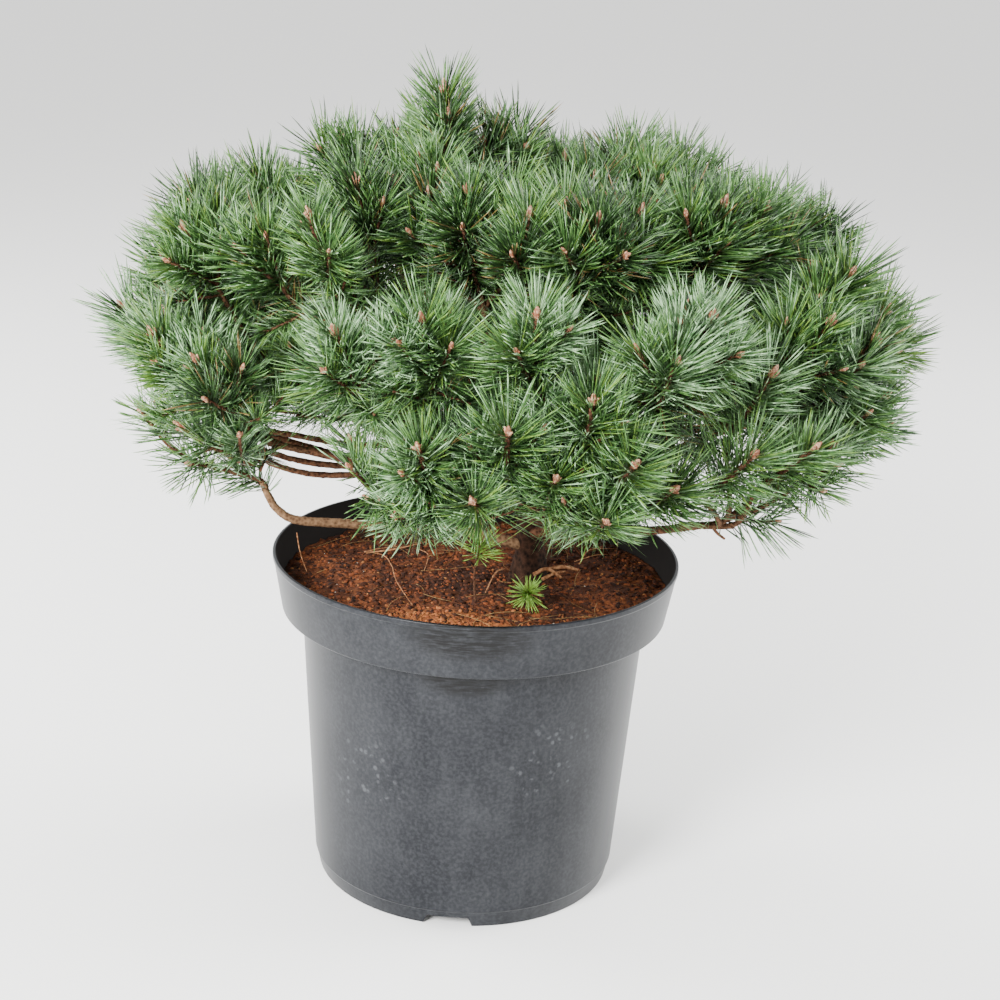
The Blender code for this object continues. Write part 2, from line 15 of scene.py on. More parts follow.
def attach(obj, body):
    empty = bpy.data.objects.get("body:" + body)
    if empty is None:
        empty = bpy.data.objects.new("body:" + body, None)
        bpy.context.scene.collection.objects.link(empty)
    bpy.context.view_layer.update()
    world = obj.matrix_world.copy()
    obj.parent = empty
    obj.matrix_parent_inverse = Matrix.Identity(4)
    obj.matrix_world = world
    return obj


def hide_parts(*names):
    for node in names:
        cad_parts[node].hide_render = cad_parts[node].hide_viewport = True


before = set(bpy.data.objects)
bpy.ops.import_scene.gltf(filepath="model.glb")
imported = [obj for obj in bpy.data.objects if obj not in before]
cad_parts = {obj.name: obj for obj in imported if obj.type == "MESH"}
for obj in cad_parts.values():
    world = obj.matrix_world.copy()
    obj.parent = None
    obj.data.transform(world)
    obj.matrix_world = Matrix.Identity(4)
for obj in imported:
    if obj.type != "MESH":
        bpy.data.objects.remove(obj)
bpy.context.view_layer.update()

# Pot, as in the part.
POT_HEIGHT = 0.300
RIM_RADIUS = 0.180
COLLAR_HEIGHT = 0.050
COLLAR_FOOT_RADIUS = 0.171
BODY_TOP_RADIUS = 0.153
LEDGE_RADIUS = 0.137
LEDGE_HEIGHT = 0.0155
FOOT_RADIUS = 0.133
WALL = 0.0022
LIP_HEIGHT = 0.004
LIP_STEP = 0.001
FLOOR_UNDERSIDE = 0.010
FLOOR_TOP = 0.0125
FOOT_RING_WIDTH = 0.0028
HUB_RADIUS = 0.035
HUB_DRAFT = 0.003
NOTCH_AZIMUTHS = (266, 26, 146)
NOTCH_TOP_WIDTH = 0.036
NOTCH_FOOT_WIDTH = 0.046
NOTCH_HEIGHT = 0.0095
NOTCH_DEPTH = 0.020
NOTCH_OVERCUT = 0.004
SPIN_STEPS = 192

# Trunk and boughs, as in the part.
GAP = 0.0003
SOIL_TOP = 0.272
TRUNK_FOOT = Vector((0.049, 0.034, SOIL_TOP + GAP))
TRUNK_TIP = Vector((-0.034, 0.000, 0.588))
TRUNK_BOW = Vector((0.010, 0.006, 0.0))
TRUNK_RADIUS = 0.0120
TRUNK_TIP_RADIUS = 0.0032
FLARE_RADIUS = 0.0065
FLARE_HEIGHT = 0.013
TRUNK_LEAN_POWER = 1.25
TRUNK_TAPER_POWER = 0.85
TRUNK_RINGS = 9
RING_POWER = 1.3
FORK = Vector((0.030, 0.010, 0.380))
BOUGH_RADIUS = 0.0052
BOUGH_TIP_RADIUS = 0.0030
BOUGH_POINTS = 5
BOUGH_END = 0.010
BOUGH_LEAVE = 0.50
BOUGH_LEAVE_RISE = 0.05
BOUGH_ARRIVE = 0.30
STEM_FLATNESS = 0.35

# Crown, as in the part.
DOME_CENTRE = Vector((0.020, 0.000, 0.450))
DOME_RADIUS_X = 0.325
DOME_RADIUS_Y = 0.295
DOME_RADIUS_Z = 0.198
DOME_SQUARENESS = 2.6
CLUMP_ROUNDING = 0.09
LEADER_ROUNDING = 0.24
REACH_JITTER = 0.03
SHOOTS_ON_SPHERE = 395
TIP_SPACING = 2.0 * math.sqrt(math.pi / SHOOTS_ON_SPHERE)
AXIS_CLEARANCE = 0.7 * TIP_SPACING
STEM_SHARE = 0.60
FORK_SHARE = 0.15
FORK_SPREAD = 0.60
TWIG_LEAVE = 0.40
TWIG_ARRIVE = 0.30
CELL_MARGIN = 0.0012
LIMB_MARGIN = 0.0012
SHOOT_LENGTH = 0.062
SHOOT_LIFT = 0.90
FULL_LIFT_ELEVATION = 24
SHORTER_SHARES = (1.0, 0.8, 0.6)
CORE_RADIUS = 0.0090
CORE_INSIDE = 0.6 * CORE_RADIUS
TWIG_RADIUS = 0.0026
TWIG_OVERLAP = 0.12
STEM_RADII = (BOUGH_TIP_RADIUS, 0.0028, 0.0024)
MASSES = (
    ("leader", 187, 77, 1.20, 15, 0.62, 0.000, None),
    ("crown_left", 160, 57, 1.05, 17, 0.52, 0.008, 0.488),
    ("crown_front", 250, 62, 1.00, 16, 0.52, 0.008, 0.472),
    ("crown_right", 18, 70, 1.03, 17, 0.52, 0.006, 0.500),
    ("top_front_left", 227, 45, 1.05, 16, 0.54, 0.018, 0.436),
    ("top_front_right", 287, 54, 1.01, 16, 0.54, 0.014, 0.450),
    ("top_right", 334, 50, 1.04, 17, 0.54, 0.016, 0.426),
    ("top_back_left", 124, 43, 1.00, 18, 0.54, 0.018, 0.456),
    ("top_back", 82, 53, 1.00, 18, 0.54, 0.014, 0.440),
    ("top_back_right", 40, 42, 1.00, 18, 0.54, 0.018, 0.414),
    ("upper_right", 9, 39, 1.02, 17, 0.56, 0.022, 0.400),
    ("upper_left", 160, 34, 1.06, 18, 0.56, 0.066, 0.412),
    ("side_left", 191, 39, 1.04, 16, 0.56, 0.076, 0.392),
    ("mid_front_left", 241, 31, 0.98, 13, 0.56, 0.024, 0.408),
    ("mid_front", 272, 36, 1.00, 16, 0.56, 0.020, 0.390),
    ("mid_front_right", 300, 35, 1.02, 17, 0.56, 0.020, 0.378),
    ("mid_right", 334, 27, 1.03, 17, 0.58, 0.026, 0.368),
    ("low_mid_left", 208, 23, 1.01, 14, 0.60, 0.052, 0.376),
    ("mid_back_right", 70, 24, 1.00, 16, 0.60, 0.024, 0.370),
    ("mid_back_left", 107, 24, 1.00, 16, 0.60, 0.024, 0.386),
    ("far_left", 181, 20, 1.03, 15, 0.62, 0.062, 0.360),
    ("far_right", 359, 22, 1.04, 17, 0.62, 0.034, 0.352),
    ("far_back_right", 34, 19, 1.00, 15, 0.60, 0.028, 0.336),
    ("far_back_left", 144, 20, 1.02, 15, 0.62, 0.050, 0.346),
    ("low_front_left", 256, 18, 0.97, 14, 0.58, 0.020, 0.342),
    ("low_front_right", 287, 17, 0.97, 14, 0.58, 0.020, 0.328),
    ("low_right", 317, 16, 1.00, 13, 0.66, 0.060, 0.308),
    ("low_left", 190, 3, 0.95, 11, 0.70, 0.042, 0.294),
)
SPRIG_FOOT = Vector((0.049, -0.040, SOIL_TOP + GAP))
SPRIG_STAR = Vector((0.047, -0.066, 0.289))
WAND_FOOT = Vector((0.002, -0.054, SOIL_TOP - 0.002))
WAND_TOP = Vector((0.004, -0.062, 0.330))
WAND_BOW = Vector((-0.003, 0.002, 0.0))
SPRIG_RADII = (0.0012, 0.0011, 0.0009)
WAND_RADII = (0.0013, 0.0011, 0.0009)
# Scraps on the compost: three points of each, and the radius at its two ends.
SCRAPS = (
    (((0.052, 0.010, 0.277), (0.064, 0.013, 0.282), (0.077, 0.006, 0.277)), 0.0021, 0.0013),
    (((0.064, 0.021, 0.278), (0.078, 0.020, 0.282), (0.092, 0.027, 0.277)), 0.0024, 0.0014),
    (((0.060, 0.002, 0.276), (0.070, 0.009, 0.279), (0.081, 0.021, 0.278)), 0.0017, 0.0010),
    (((0.026, 0.014, 0.280), (0.018, -0.012, 0.285), (0.010, -0.036, 0.275)), 0.0008, 0.0006),
    (((-0.163, 0.030, 0.299), (-0.158, 0.014, 0.286), (-0.150, -0.004, 0.275)), 0.0005, 0.0003),
    (((-0.103, 0.053, 0.276), (-0.084, 0.038, 0.278), (-0.075, 0.016, 0.276)), 0.0006, 0.0005),
    (((-0.075, 0.016, 0.276), (-0.068, -0.030, 0.279), (-0.052, -0.074, 0.275)), 0.0005, 0.0003),
    (((-0.053, 0.065, 0.276), (-0.044, 0.040, 0.280), (-0.046, 0.011, 0.275)), 0.0005, 0.0003),
    (((0.094, 0.044, 0.277), (0.104, 0.070, 0.282), (0.130, 0.091, 0.277)), 0.0006, 0.0004),
    (((0.090, 0.050, 0.277), (0.108, 0.058, 0.281), (0.122, 0.074, 0.277)), 0.0005, 0.0003),
    (((-0.101, 0.046, 0.277), (-0.075, 0.043, 0.283), (-0.046, 0.060, 0.286)), 0.0009, 0.0006),
    (((-0.102, 0.040, 0.280), (-0.088, 0.052, 0.280), (-0.070, 0.066, 0.278)), 0.0007, 0.0005),
)

# The crown's underside is this cone about the trunk; only the lowest boughs hang below it.
SKIRT_FOOT = 0.298
SKIRT_SLOPE = 0.36
# Openings where bare limbs show: first and last azimuth and highest elevation seen from the fork,
# then how far out they begin and end.
OPENINGS = (
    (220, 245, 15, 0.10, 0.40),
    (267, 275, 11, 0.10, 0.30),
    (160, 220, 6, 0.08, 0.40),
    (168, 214, 10, 0.20, 0.40),
)
# The two lowest boughs and their thin sprays, as the photo shows them: points from the trunk out
# to where the needles begin, then on to the tip.
LOW_BOUGHS = {
    "low_left": (
        ((0.046, 0.033, 0.296), (-0.025, 0.020, 0.313), (-0.078, 0.012, 0.316),
         (-0.122, 0.004, 0.319), (-0.160, -0.004, 0.323), (-0.176, -0.008, 0.333),
         (-0.184, -0.012, 0.347), (-0.189, -0.014, 0.360)),
        ((-0.184, -0.012, 0.347), (-0.189, -0.014, 0.360), (-0.202, -0.018, 0.366),
         (-0.239, -0.028, 0.378), (-0.264, -0.036, 0.394), (-0.279, -0.042, 0.413),
         (-0.288, -0.045, 0.428)),
    ),
    "low_right": (
        ((0.045, 0.030, 0.310), (0.108, -0.020, 0.330), (0.140, -0.050, 0.344), (0.159, -0.070, 0.353),
         (0.196, -0.100, 0.370)),
        ((0.196, -0.100, 0.370), (0.226, -0.125, 0.392), (0.244, -0.140, 0.409),
         (0.261, -0.155, 0.431), (0.281, -0.168, 0.446)),
    ),
}
# Where along a low spray its side shoots start, and their turn about it.
LOW_SIDE_SHOOTS = ((0.12, 250.0), (0.45, 40.0), (0.70, 160.0))
LOW_SIDE_SHOOT_LENGTH = 0.034
DEAD_STUB = ((0.196, -0.100, 0.369), (0.201, -0.098, 0.362), (0.208, -0.095, 0.356))
DEAD_STUB_RADII = (0.0016, 0.0011)
# Thin old boughs that show level and bare at the left of the trunk.
BARE_BOUGHS = (
    ((0.030, 0.010, 0.386), (-0.010, 0.014, 0.388), (-0.067, 0.010, 0.392), (-0.114, 0.000, 0.394),
     (-0.157, -0.010, 0.402), (-0.189, -0.020, 0.411), (-0.230, -0.026, 0.436)),
    ((0.030, 0.010, 0.378), (-0.009, 0.008, 0.380), (-0.062, 0.000, 0.386), (-0.105, -0.008, 0.385),
     (-0.156, -0.016, 0.391), (-0.193, -0.020, 0.402), (-0.226, -0.036, 0.426)),
    ((0.030, 0.010, 0.374), (-0.009, 0.004, 0.376), (-0.068, -0.010, 0.381), (-0.113, -0.020, 0.380),
     (-0.155, -0.030, 0.386), (-0.192, -0.035, 0.398), (-0.222, -0.052, 0.420)),
    ((0.030, 0.010, 0.370), (-0.009, 0.000, 0.374), (-0.069, -0.014, 0.374), (-0.105, -0.024, 0.374),
     (-0.147, -0.034, 0.376), (-0.186, -0.044, 0.390), (-0.214, -0.060, 0.414)),
)
BARE_BOUGH_RADII = (0.0036, 0.0022)
# The bark's relief: how deep the trunk stands in the compost, the heights of its buttresses, plates
# and crumbs, the height of the scales on boughs and on twigs, and how far apart a bough's rings are.
TRUNK_SUNK = 0.011
BUTTRESS_HEIGHT = 0.0022
PLATE_HEIGHT = 0.0009
CRUMBLE_HEIGHT = 0.0005
BOUGH_RELIEF = 0.0006
TWIG_RELIEF = 0.0003
SCRAP_RELIEF = 0.0004
BOUGH_RING_SPACING = 0.0022
# Where small sprays close the crown, over those boughs first: each space's middle and half-size,
# its number of sprays and the range of their azimuths.
FILLS = (
    ((-0.120, -0.010, 0.444), (0.070, 0.055, 0.018), 26, (170, 240)),
    ((-0.195, 0.080, 0.500), (0.036, 0.036, 0.025), 14, (120, 200)),
    ((0.185, -0.120, 0.500), (0.036, 0.036, 0.025), 14, (285, 350)),
    ((0.280, 0.005, 0.500), (0.030, 0.036, 0.025), 12, (-30, 30)),
    ((0.010, -0.060, 0.430), (0.050, 0.030, 0.026), 14, (230, 300)),
)
FILL_TWIGS_LEAVE = 0.455
FILL_TWIG_RADII = (0.0022, 0.0015)
FILL_ELEVATIONS = (5, 50)
FILL_DEPTH = 0.9
# Boughs whose azimuths lie between these show bare in the photo.
BARE_SIDE = (156, 236)
BOUGH_SHOOT_SHARES = (0.30, 0.41, 0.52, 0.64, 0.74, 0.84, 0.94)

# Finer growth than the part holds.
UP = Vector((0.0, 0.0, 1.0))
# A full turn and the golden angle in radians, near enough for needles that turn at random.
FULL_TURN = 6.283
NEEDLE_TURN = 2.39996
TWIG_POINTS = 7
TWIG_RADII = (0.0024, 0.0018)
# Where on a twig its old needles begin.
OLD_NEEDLES_BEGIN = 0.35
MAIN_SHOOT_RADIUS = 0.0025
SIDE_SHOOT_RADIUS = 0.0017
SIDE_SHOOT_COUNTS = (2, 3, 4, 4)
SIDE_SHOOT_LENGTHS = (0.044, 0.058)
SIDE_SHOOT_LEANS = (26, 50)
SIDE_SHOOT_FEET = (-0.004, 0.010)
SIDE_REACH = 1.0
INNER_SHOOT_RADIUS = 0.0013
INNER_SHOOT_SHARES = (0.25, 0.42, 0.58, 0.74, 0.90)
INNER_SHOOT_LENGTHS = (0.034, 0.050)
INNER_SHOOT_LEANS = (40, 70)
INNER_SHOOTS_MISSING = 0.12
SPARSE_SHOOT_RADII = (0.0018, 0.0015)
# How far a new shoot's tip stays above the crown's underside.
SHOOT_SLACK = 0.012
# An opening's edge is shifted by this many degrees for a metre of slack.
SLACK_TURN = 100.0
NEEDLE_LENGTH = 0.054
# The share of that length which the needles of one shoot reach.
VIGOUR = (0.66, 1.02)
NEEDLE_HALF_WIDTH = 0.00069
NEEDLE_HALF_THICKNESS = 0.00042
YOUNG_NEEDLE_HALF_WIDTH = 0.00048
NEEDLES_TURN_UP = np.array([0.0, 0.0, 0.10])
NEEDLES_IN_A_PIECE = 18000
BUD_LENGTH = 0.0128
BUD_RADIUS = 0.0034
BUD_SUNK = 0.001
# The kinds of shoot that end in buds: the buds' size and how many stand round the middle one.
BUDDED_KINDS = {
    "main": (1.0, (2, 3, 4)),
    "side": (0.75, (0, 1, 2)),
    "sparse": (0.75, (0, 1, 2)),
}

# Studio: each lamp's name, place, width and power.
FLOOR_HALF_WIDTH = 12.0
SKY_STRENGTH = 1.50
LAMPS_AIM = Vector((0.0, 0.0, 0.35))
LAMPS = (
    ("key", (-1.3, -2.1, 1.6), 1.2, 230.0),
    ("left", (-2.3, 0.9, 1.3), 1.8, 90.0),
    ("right", (2.3, 0.7, 1.3), 1.8, 110.0),
)

# Where the photographer stood: the pot's ellipses and both crown edges were fitted at this place.
CAMERA_DISTANCE = 1.80
CAMERA_DROP = math.radians(18.28)
CAMERA_ROLL = math.radians(2.78)
CAMERA_AIM = Vector((0.0189, 0.0, 0.3493))
LENS_IN_PIXELS = 2042.3
PICTURE_WIDTH = 1000.0
SENSOR_WIDTH = 36.0


def linear(hex_colour):
    """An sRGB hex value as linear RGBA."""
    channels = [int(hex_colour[place:place + 2], 16) / 255.0 for place in (1, 3, 5)]
    return tuple(c / 12.92 if c <= 0.04045 else ((c + 0.055) / 1.055) ** 2.4 for c in channels) + (1.0,)


def add_node(tree, kind, inputs=None, **settings):
    """Adds a node: settings are its properties, each input a value or another node's output."""
    made = tree.nodes.new(kind)
    for name, value in settings.items():
        setattr(made, name, value)
    for socket, feed in (inputs or {}).items():
        if isinstance(feed, bpy.types.NodeSocket):
            tree.links.new(feed, made.inputs[socket])
        else:
            made.inputs[socket].default_value = feed
    return made


def new_material(name, roughness, **sockets):
    """A material with its node tree and its shader, whose named sockets are set."""
    material = bpy.data.materials.new(name)
    material.use_nodes = True
    shader = material.node_tree.nodes["Principled BSDF"]
    shader.inputs["Roughness"].default_value = roughness
    for socket, value in sockets.items():
        shader.inputs[socket.replace("_", " ")].default_value = value
    return material, material.node_tree, shader


def show_piece(name, mesh, material):
    """Puts a finished mesh in the scene as a piece of the plant's one body."""
    piece = bpy.data.objects.new(name, mesh)
    bpy.context.scene.collection.objects.link(piece)
    mesh.materials.clear()
    mesh.materials.append(material)
    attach(piece, "root")
    return piece


def finished_mesh(name, work, smooth=True):
    """A mesh made from a bmesh, which is used up."""
    mesh = bpy.data.meshes.new(name)
    for face in work.faces:
        face.smooth = smooth
    work.to_mesh(mesh)
    work.free()
    return mesh


# Materials

BARK_GRAIN = 0.0016
PEAT_CRUMB = 0.0035
WATER_SPOT_SPACING = 0.0070
# Soft-edged patches of a surface: middle, stretch of the space round it, and radius.
# Painted shade on the compost, under the crown round the trunk's foot.
PAINTED_SHADE_ON_PEAT = (((0.018, 0.008, SOIL_TOP), (0.85, 1.0, 1.0), 0.078),)
DRIED_PEAT = (((-0.036, -0.105, SOIL_TOP), (0.62, 1.5, 1.0), 0.062),)
WATER_SPOTS = (
    ((-0.080, -0.112, 0.128), (1.0, 1.0, 0.75), 0.052),
    ((0.072, -0.122, 0.160), (0.9, 1.0, 1.0), 0.056),
    ((-0.020, 0.135, 0.120), (1.0, 1.0, 0.75), 0.050),
)
# Darker streaky patches at the front of the pot, on the collar and just under it.
DARK_STREAK_PATCHES = (
    ((0.000, -0.178, 0.288), (0.50, 1.0, 1.3), 0.036),
    ((-0.002, -0.152, 0.241), (0.55, 1.0, 1.4), 0.028),
)
# The share of a patch's radius inside which it is at full strength.
PATCH_CORE = 0.4


def noise_share(tree, place, size, low, high, top=1.0, detail=3.0, roughness=0.55):
    """A noise of the given grain size in metres, spread to run from 0 to top between two levels."""
    grain = add_node(tree, "ShaderNodeTexNoise",
                     {"Vector": place, "Scale": 1.0 / size, "Detail": detail, "Roughness": roughness})
    return add_node(tree, "ShaderNodeMapRange",
                    {"Value": grain.outputs["Fac"], "From Min": low, "From Max": high,
                     "To Max": top}).outputs["Result"]


def patches(tree, place, rows):
    """How deep a place lies in the nearest of some patches: 1 in its middle, 0 past its edge."""
    deepest = None
    for centre, stretch, radius in rows:
        stretched = add_node(tree, "ShaderNodeMapping", {"Vector": place, "Scale": stretch})
        middle = tuple(c * s for c, s in zip(centre, stretch))
        away = add_node(tree, "ShaderNodeVectorMath", {0: stretched.outputs["Vector"], 1: middle},
                        operation="DISTANCE")
        depth = add_node(tree, "ShaderNodeMapRange",
                         {"Value": away.outputs["Value"], "From Min": radius,
                          "From Max": PATCH_CORE * radius}, interpolation_type="SMOOTHSTEP")
        depth = depth.outputs["Result"]
        if deepest is not None:
            depth = add_node(tree, "ShaderNodeMath", {0: deepest, 1: depth},
                             operation="MAXIMUM").outputs["Value"]
        deepest = depth
    return deepest


def layered(tree, ground, layers):
    """A ground colour with tints laid over it, each as far as its own share says."""
    colour = linear(ground)
    for share, tint in layers:
        colour = add_node(tree, "ShaderNodeMix", {"Factor": share, 6: colour, 7: linear(tint)},
                          data_type="RGBA").outputs[2]
    return colour


def drifting_material(name, roughness, specular, light, dark, grain, levels=(0.35, 0.65), detail=2.0):
    """A plain surface whose colour drifts between two tones, by a noise of the given grain."""
    material, tree, shader = new_material(name, roughness, Specular_IOR_Level=specular)
    place = add_node(tree, "ShaderNodeTexCoord").outputs["Object"]
    share = noise_share(tree, place, grain, *levels, detail=detail, roughness=0.5)
    tree.links.new(layered(tree, dark, [(share, light)]), shader.inputs["Base Color"])
    return material


def waxy_needle_material(name, light, dark):
    """Pine needles: a waxy skin with a soft sheen, its colour drifting from needle to needle."""
    return drifting_material(name, 0.38, 0.50, light, dark, 0.006)


def dry_scrap_material(name, light, dark, grain):
    """Small dry plant scraps: matt, their colour drifting a little from one to the next."""
    return drifting_material(name, 0.90, 0.25, light, dark, grain)


def resin_bud_material():
    """Winter buds: red-brown scales under thin white resin that catches the light."""
    return drifting_material("pine_bud_resinous", 0.45, 0.50, "#c19a7b", "#834e37", 0.0022,
                             (0.46, 0.64), 3.0)


def bark_material(name, ridge, furrow, scale_length):
    """Young pine bark: dry, dull scales, pale on their edges and dark between them."""
    material, tree, shader = new_material(name, 0.92, Specular_IOR_Level=0.12)
    place = add_node(tree, "ShaderNodeTexCoord").outputs["Object"]
    scales = add_node(tree, "ShaderNodeTexVoronoi",
                      {"Vector": place, "Scale": 1.0 / scale_length, "Randomness": 0.9}, feature="F1")
    grain = add_node(tree, "ShaderNodeTexNoise",
                     {"Vector": place, "Scale": 1.0 / BARK_GRAIN, "Detail": 4.0, "Roughness": 0.65})
    height = add_node(tree, "ShaderNodeMath",
                      {0: scales.outputs["Distance"], 1: grain.outputs["Fac"]}, operation="MULTIPLY")
    height = height.outputs["Value"]
    share = add_node(tree, "ShaderNodeMapRange", {"Value": height, "From Min": 0.06, "From Max": 0.42})
    bump = add_node(tree, "ShaderNodeBump", {"Height": height, "Strength": 0.6, "Distance": 0.0006})
    colour = layered(tree, furrow, [(share.outputs["Result"], ridge)])
    tree.links.new(colour, shader.inputs["Base Color"])
    tree.links.new(bump.outputs["Normal"], shader.inputs["Normal"])
    return material


def peat_material():
    """Milled peat with composted bark: red-brown and crumbly, damp in patches, with painted shade
    round the trunk's foot where the crown shades it, and paler where it has dried at the front."""
    material, tree, shader = new_material("peat_and_bark_compost", 0.95, Specular_IOR_Level=0.2)
    place = add_node(tree, "ShaderNodeTexCoord").outputs["Object"]
    crumbs = add_node(tree, "ShaderNodeTexNoise",
                      {"Vector": place, "Scale": 1.0 / PEAT_CRUMB, "Detail": 6.0, "Roughness": 0.7})
    crumb = add_node(tree, "ShaderNodeMapRange",
                     {"Value": crumbs.outputs["Fac"], "From Min": 0.36, "From Max": 0.66})
    crumb = crumb.outputs["Result"]
    damp = noise_share(tree, place, 0.045, 0.38, 0.60, 0.75, detail=2.0, roughness=0.5)
    # Painted shade: the compost darkened under the crown round the trunk's foot.
    painted_shade = add_node(tree, "ShaderNodeMath", {0: patches(tree, place, PAINTED_SHADE_ON_PEAT), 1: 0.70},
                      operation="MULTIPLY")
    drier = add_node(tree, "ShaderNodeMath", {0: patches(tree, place, DRIED_PEAT), 1: crumb},
                     operation="MULTIPLY")
    colour = layered(tree, "#2f150b", [
        (crumb, "#91532f"),
        (damp, "#24120a"),
        (painted_shade.outputs["Value"], "#120906"),
        (drier.outputs["Value"], "#9f6136"),
    ])
    bump = add_node(tree, "ShaderNodeBump",
                    {"Height": crumbs.outputs["Fac"], "Strength": 0.8, "Distance": 0.0012})
    tree.links.new(colour, shader.inputs["Base Color"])
    tree.links.new(bump.outputs["Normal"], shader.inputs["Normal"])
    return material


def inside_of_collar(tree, place):
    """1 on the inside of the pot's collar and 0 on its outside."""
    shoulder = POT_HEIGHT - COLLAR_HEIGHT
    slope = (RIM_RADIUS - COLLAR_FOOT_RADIUS) / COLLAR_HEIGHT
    outer_line = RIM_RADIUS - LIP_STEP - slope * POT_HEIGHT
    apart = add_node(tree, "ShaderNodeSeparateXYZ", {0: place})
    flat = add_node(tree, "ShaderNodeCombineXYZ", {0: apart.outputs["X"], 1: apart.outputs["Y"]})
    out = add_node(tree, "ShaderNodeVectorMath", {0: flat.outputs["Vector"]}, operation="LENGTH")
    line = add_node(tree, "ShaderNodeMath", {0: apart.outputs["Z"], 1: slope}, operation="MULTIPLY")
    depth = add_node(tree, "ShaderNodeMath", {0: line.outputs["Value"], 1: out.outputs["Value"]},
                     operation="SUBTRACT")
    behind = add_node(tree, "ShaderNodeMapRange",
                      {"Value": depth.outputs["Value"], "From Min": 0.55 * WALL - outer_line,
                       "From Max": 0.90 * WALL - outer_line})
    above = add_node(tree, "ShaderNodeMapRange",
                     {"Value": apart.outputs["Z"], "From Min": shoulder + 0.004,
                      "From Max": shoulder + 0.006})
    return add_node(tree, "ShaderNodeMath", {0: behind.outputs["Result"], 1: above.outputs["Result"]},
                    operation="MULTIPLY").outputs["Value"]


def pot_material():
    """Injection-moulded recycled polypropylene: blue-black and satin, with a thin film of dust,
    dried water spots in clusters, darker streaky patches at the front and earth on the inside."""
    material, tree, shader = new_material("polypropylene_moulded_black", 0.34, Specular_IOR_Level=0.20)
    place = add_node(tree, "ShaderNodeTexCoord").outputs["Object"]
    upright = add_node(tree, "ShaderNodeMapping", {"Vector": place, "Scale": (1.0, 1.0, 0.10)})
    level = add_node(tree, "ShaderNodeMapping", {"Vector": place, "Scale": (0.12, 0.12, 1.0)})

    mottle = noise_share(tree, place, 0.0030, 0.40, 0.75, 0.12)
    film = noise_share(tree, place, 0.070, 0.40, 0.75, 0.08, detail=4.0)
    dirt = noise_share(tree, upright.outputs["Vector"], 0.012, 0.40, 0.75, 0.04)
    for more in (mottle, film):
        dirt = add_node(tree, "ShaderNodeMath", {0: more, 1: dirt}, operation="ADD").outputs["Value"]

    dots = add_node(tree, "ShaderNodeTexVoronoi",
                    {"Vector": place, "Scale": 1.0 / WATER_SPOT_SPACING, "Randomness": 1.0}, feature="F1")
    dot = add_node(tree, "ShaderNodeMapRange",
                   {"Value": dots.outputs["Distance"], "From Min": 0.46, "From Max": 0.22, "To Max": 0.36})
    spotted = patches(tree, place, WATER_SPOTS)
    for share in (dot.outputs["Result"], noise_share(tree, place, 0.009, 0.46, 0.56)):
        spotted = add_node(tree, "ShaderNodeMath", {0: spotted, 1: share},
                           operation="MULTIPLY").outputs["Value"]
    dirt = add_node(tree, "ShaderNodeMath", {0: dirt, 1: spotted}, operation="MAXIMUM").outputs["Value"]

    streaks = noise_share(tree, level.outputs["Vector"], 0.0016, 0.25, 0.58)
    dark_streaks = add_node(tree, "ShaderNodeMath", {0: patches(tree, place, DARK_STREAK_PATCHES), 1: streaks},
                     operation="MULTIPLY").outputs["Value"]
    earthy = inside_of_collar(tree, place)

    colour = layered(tree, "#111318", [(dirt, "#65676b"), (dark_streaks, "#060607"), (earthy, "#140f0c")])
    roughness = add_node(tree, "ShaderNodeMapRange", {"Value": dirt, "To Min": 0.32, "To Max": 0.60})
    dull = add_node(tree, "ShaderNodeMix", {"Factor": earthy, 2: roughness.outputs["Result"], 3: 0.85},
                    data_type="FLOAT")
    bump = add_node(tree, "ShaderNodeBump", {"Height": mottle, "Strength": 0.12, "Distance": 0.0003})
    tree.links.new(colour, shader.inputs["Base Color"])
    tree.links.new(dull.outputs[0], shader.inputs["Roughness"])
    tree.links.new(bump.outputs["Normal"], shader.inputs["Normal"])
    return material


# The part's growth rule


def direction(azimuth, elevation):
    """The heading at an azimuth and an elevation in degrees."""
    azimuth, elevation = math.radians(azimuth), math.radians(elevation)
    return Vector((math.cos(elevation) * math.cos(azimuth),
                   math.cos(elevation) * math.sin(azimuth),
                   math.sin(elevation)))


def bezier(start, leave, arrive, end, count):
    """Points along a cubic Bezier curve."""
    points = []
    for index in range(count):
        t = index / (count - 1)
        u = 1.0 - t
        points.append(u ** 3 * start + 3 * u * u * t * leave + 3 * u * t * t * arrive + t ** 3 * end)
    return points


def dome_reach(heading):
    """The distance from the fork to the dome of buds along a heading, found by halving."""
    near, far = 0.0, 2.0 * DOME_RADIUS_X
    for _ in range(30):
        middle = (near + far) / 2.0
        place = FORK + heading * middle - DOME_CENTRE
        across = math.hypot(place.x / DOME_RADIUS_X, place.y / DOME_RADIUS_Y)
        if across ** DOME_SQUARENESS + abs(place.z / DOME_RADIUS_Z) ** DOME_SQUARENESS < 1.0:
            near = middle
        else:
            far = middle
    return near


def shoot_aim(heading):
    """Shoots turn up towards the light, least of all on the lowest boughs."""
    elevation = math.degrees(math.asin(heading.z))
    lift = SHOOT_LIFT * min(max(elevation / FULL_LIFT_ELEVATION, 0.0), 1.0)
    return (heading + Vector((0.0, 0.0, lift))).normalized()


def trunk_point(share):
    """A point on the trunk's axis: it starts upright and leans more and more."""
    lean = share ** TRUNK_LEAN_POWER
    point = TRUNK_FOOT.lerp(TRUNK_TIP, lean) + TRUNK_BOW * math.sin(math.pi * share)
    point.z = TRUNK_FOOT.z + (TRUNK_TIP.z - TRUNK_FOOT.z) * share
    return point


def trunk_radius(share):
    """The trunk's radius at a share of its height: its taper and the flare at its foot."""
    height = share * (TRUNK_TIP.z - TRUNK_FOOT.z)
    tapered = TRUNK_RADIUS + (TRUNK_TIP_RADIUS - TRUNK_RADIUS) * share ** TRUNK_TAPER_POWER
    return tapered + FLARE_RADIUS * math.exp(-height / FLARE_HEIGHT)


